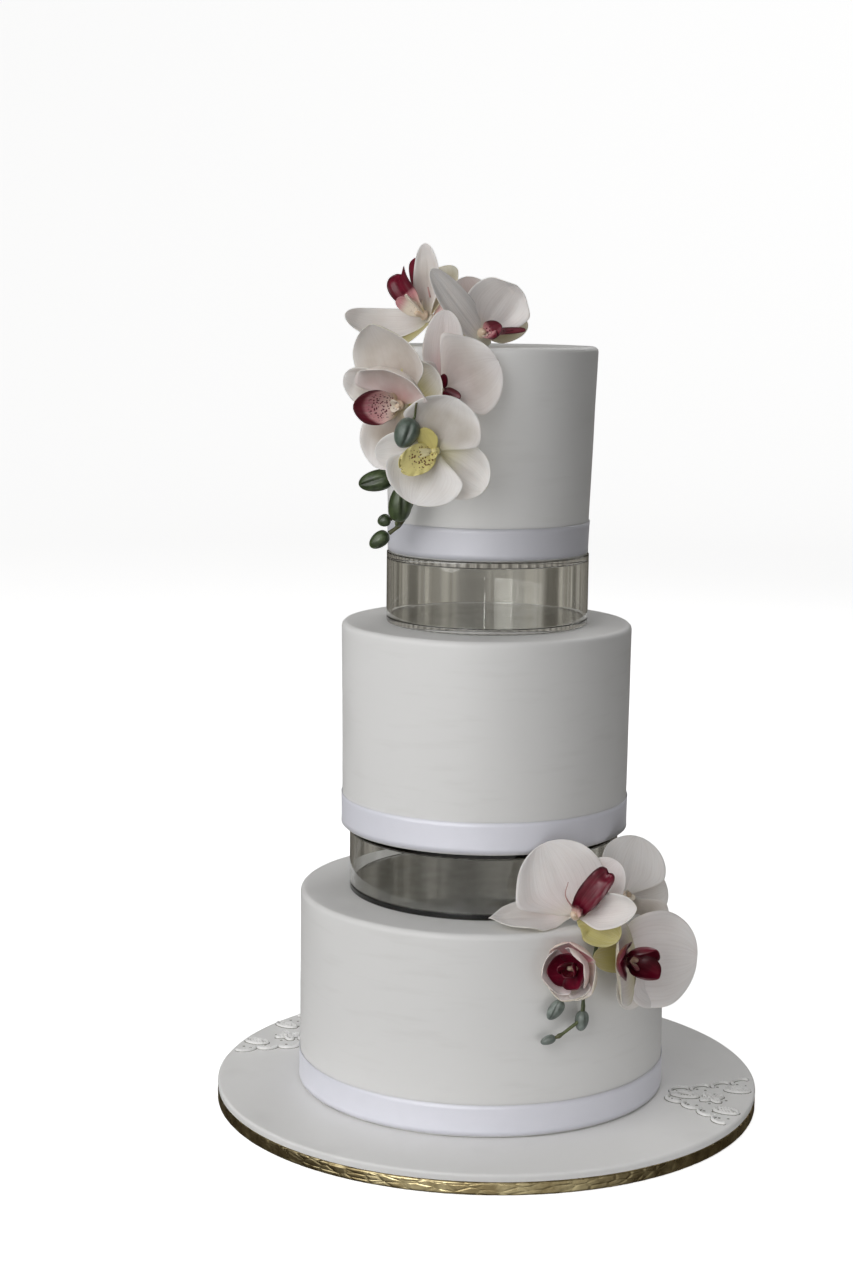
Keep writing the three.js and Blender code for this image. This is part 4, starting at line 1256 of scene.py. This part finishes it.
def stalkTree():  # a round stalk along each line, its thickness given at each point
    stalk = Shaper("stalks", Sides=12, Step=0.001, Unevenness=0.1, Patch_size=0.006, Seed=0.0,
                   Material="Material")
    wobble = (stalk.unevenness(1.0 / stalk["Patch size"]) - 0.5) * stalk["Unevenness"]
    width = stalk.attribute("thick") * (wobble + 1.0)
    return stalk.done(stalk.tube(stalk.evenCurve(stalk["Step"]), stalk["Sides"], width))


def budTree():  # a bud between two points: three leaves folded together, a seam between each
    bud = Shaper("closedBud", Foot="Vector", Tip="Vector", Width=0.01, Seam_depth=0.1,
                 Seam_share=0.3, Turn=0.0, Twist=0.6, Fullest=0.8, Material="Material")
    ball = bud.add("MeshUVSphere", out="Mesh", Segments=60, Rings=36, Radius=1.0)
    x, y, z = bud.split(bud.coords)
    rise = bud.calc("MAXIMUM", (z + 1.0) * 0.5, 0.0)
    share = bud.calc("POWER", rise, 1.0 / bud["Fullest"])
    around = bud.calc("ARCTAN2", y, x) + share * bud["Twist"] + bud["Turn"]
    seam = abs(bud.calc("SINE", around * 1.5)).remap(0.0, bud["Seam share"], 1.0, 0.0, smooth=True)
    seam = seam * share.remap(0.05, 0.4, 0.2, 1.0, smooth=True)
    mapped = bud.add("StoreNamedAttribute", Geometry=ball, Name="seam", Value=seam,
                     data_type="FLOAT", domain="POINT")
    slim = (1.0 - seam * bud["Seam depth"]) * (bud["Width"] * 0.5)
    axis = bud.add("VectorMath", bud["Tip"], bud["Foot"], operation="SUBTRACT")
    length = bud.add("VectorMath", axis, out="Value", operation="LENGTH")
    shaped = bud.add("SetPosition", Geometry=mapped,
                     Position=bud.add("CombineXYZ", x * slim, y * slim, share * length))
    turn = bud.add("AlignRotationToVector", Vector=axis, axis="Z")
    return bud.done(bud.add("Transform", Geometry=shaped, Translation=bud["Foot"], Rotation=turn))


def budFinish(name, light, dark):
    skin = Finish(name, Roughness=0.36, Coat_Weight=0.3, Coat_Roughness=0.3)
    patches = skin.noise(140.0, 3.0)
    seam = skin.add("Attribute", out="Fac", attribute_name="seam")
    colour = skin.mix(patches.remap(0.3, 0.7), dark, light)
    skin.bump(patches, 0.3 * mm, 0.5)
    skin.bump(skin.noise(900.0), 0.08 * mm, 0.5)
    return skin.done(skin.mix(seam * 0.5, colour, tuple(c * 0.45 for c in dark)))


def stemFinish():  # dark green, brown where it is old
    skin = Finish("orchidStem", Roughness=0.5)
    patches = skin.noise(120.0, 3.0, coords=skin.stretched(1, 1, 0.3))
    colour = skin.mix(patches.remap(0.35, 0.65), shade(52, 64, 40), shade(96, 104, 66))
    skin.bump(patches, 0.4 * mm, 0.6)
    return skin.done(skin.mix(skin.noise(35.0).remap(0.5, 0.65, 0.0, 0.7), colour,
                              shade(84, 74, 46)))


def stalkLines(spray):  # lists of (point, radius), the stem's own first
    route, thin = spray["stem"], spray["thin"]
    knots = [*spray["flowers"].values(), *(bud[3] for bud in spray["buds"])]
    steps = 5 * (len(route) - 1)
    main = []
    for k in range(steps + 1):
        share = k / steps
        swelling = min(sum(hill(share, knot, 0.025) for knot in knots), 1)
        radius = stalkRadius["main"] * thin * (1 - 0.3 * share) * (1 + 0.22 * swelling)
        main.append((routePoint(route, share), radius))
    lines = [main]
    heartBack = bladeKinds["sepal"]["layer"] - heart["thick"] / 2 - 0.4
    for name, share in spray["flowers"].items():
        axes = next(flowerAxes(flower) for flower in flowers if flower["name"] == name)
        bend = [routePoint(route, share), axes @ Vector((0, 0, heartBack - 7)),
                axes @ Vector((0, 0, heartBack))]
        lines.append([(routePoint(bend, k / 8),
                       stalkRadius["flower"] * (1.25 - 0.25 * math.sin(math.pi * k / 8)))
                      for k in range(9)])
    for foot, tip, wide, share, *via in spray["buds"]:
        if share < 1:
            away = (Vector(foot) - Vector(tip)).normalized() * 3
            bend = [routePoint(route, share), *via, Vector(foot) + away,
                    Vector(foot) - away * 0.3]
            radius = stalkRadius["bud"] * thin * (0.75 if len(via) == 1 else 1.4)
            lines.append([(routePoint(bend, k / 12),
                           radius * (1 + 0.5 * (k == 9) + 0.3 * (k == 12)))  # node and foot
                          for k in range(13)])
    return lines


def makeSpray(name, spray, seed):
    lines = stalkLines(spray)
    stem = newLines(f"{name}Stem", [([p * mm for p, radius in line], False) for line in lines],
                    "thick", [radius * mm for line in lines for p, radius in line])
    useTree(stem, stalks, Sides=14, Step=1.2 * mm, Unevenness=0.35, Patch_size=5 * mm,
            Seed=seed, Material=green)
    standFor(stem, f"stem_{name}")
    draw = random.Random(seed)
    for number, (foot, tip, wide, *rest) in enumerate(spray["buds"], 1):
        isGrey = (name, number) == ("top", 1)
        bud = useTree(newObject(f"{name}Bud{number}", []), closedBud,
                      Foot=[c * mm for c in foot], Tip=[c * mm for c in tip], Width=wide * mm,
                      Seam_depth=0.17, Seam_share=0.5, Turn=draw.uniform(0, 2),
                      Twist=draw.uniform(0.3, 0.9),
                      Material=budSkins["greyBud" if isGrey else spray["finish"]])
        standFor(bud, f"bud_{name}_{number}")


budSkins = {"bud": budFinish("darkBud", shade(80, 96, 60), shade(44, 56, 34)),
            "greyBud": budFinish("greyBud", shade(104, 118, 108), shade(62, 74, 64)),
            "pale_bud": budFinish("paleBud", shade(132, 142, 136), shade(84, 92, 86))}
green = stemFinish()
stalks, closedBud = stalkTree(), budTree()
for number, (sprayName, spray) in enumerate(sprays.items()):
    makeSpray(sprayName, spray, 7 + number)
print("stems and buds are ready")
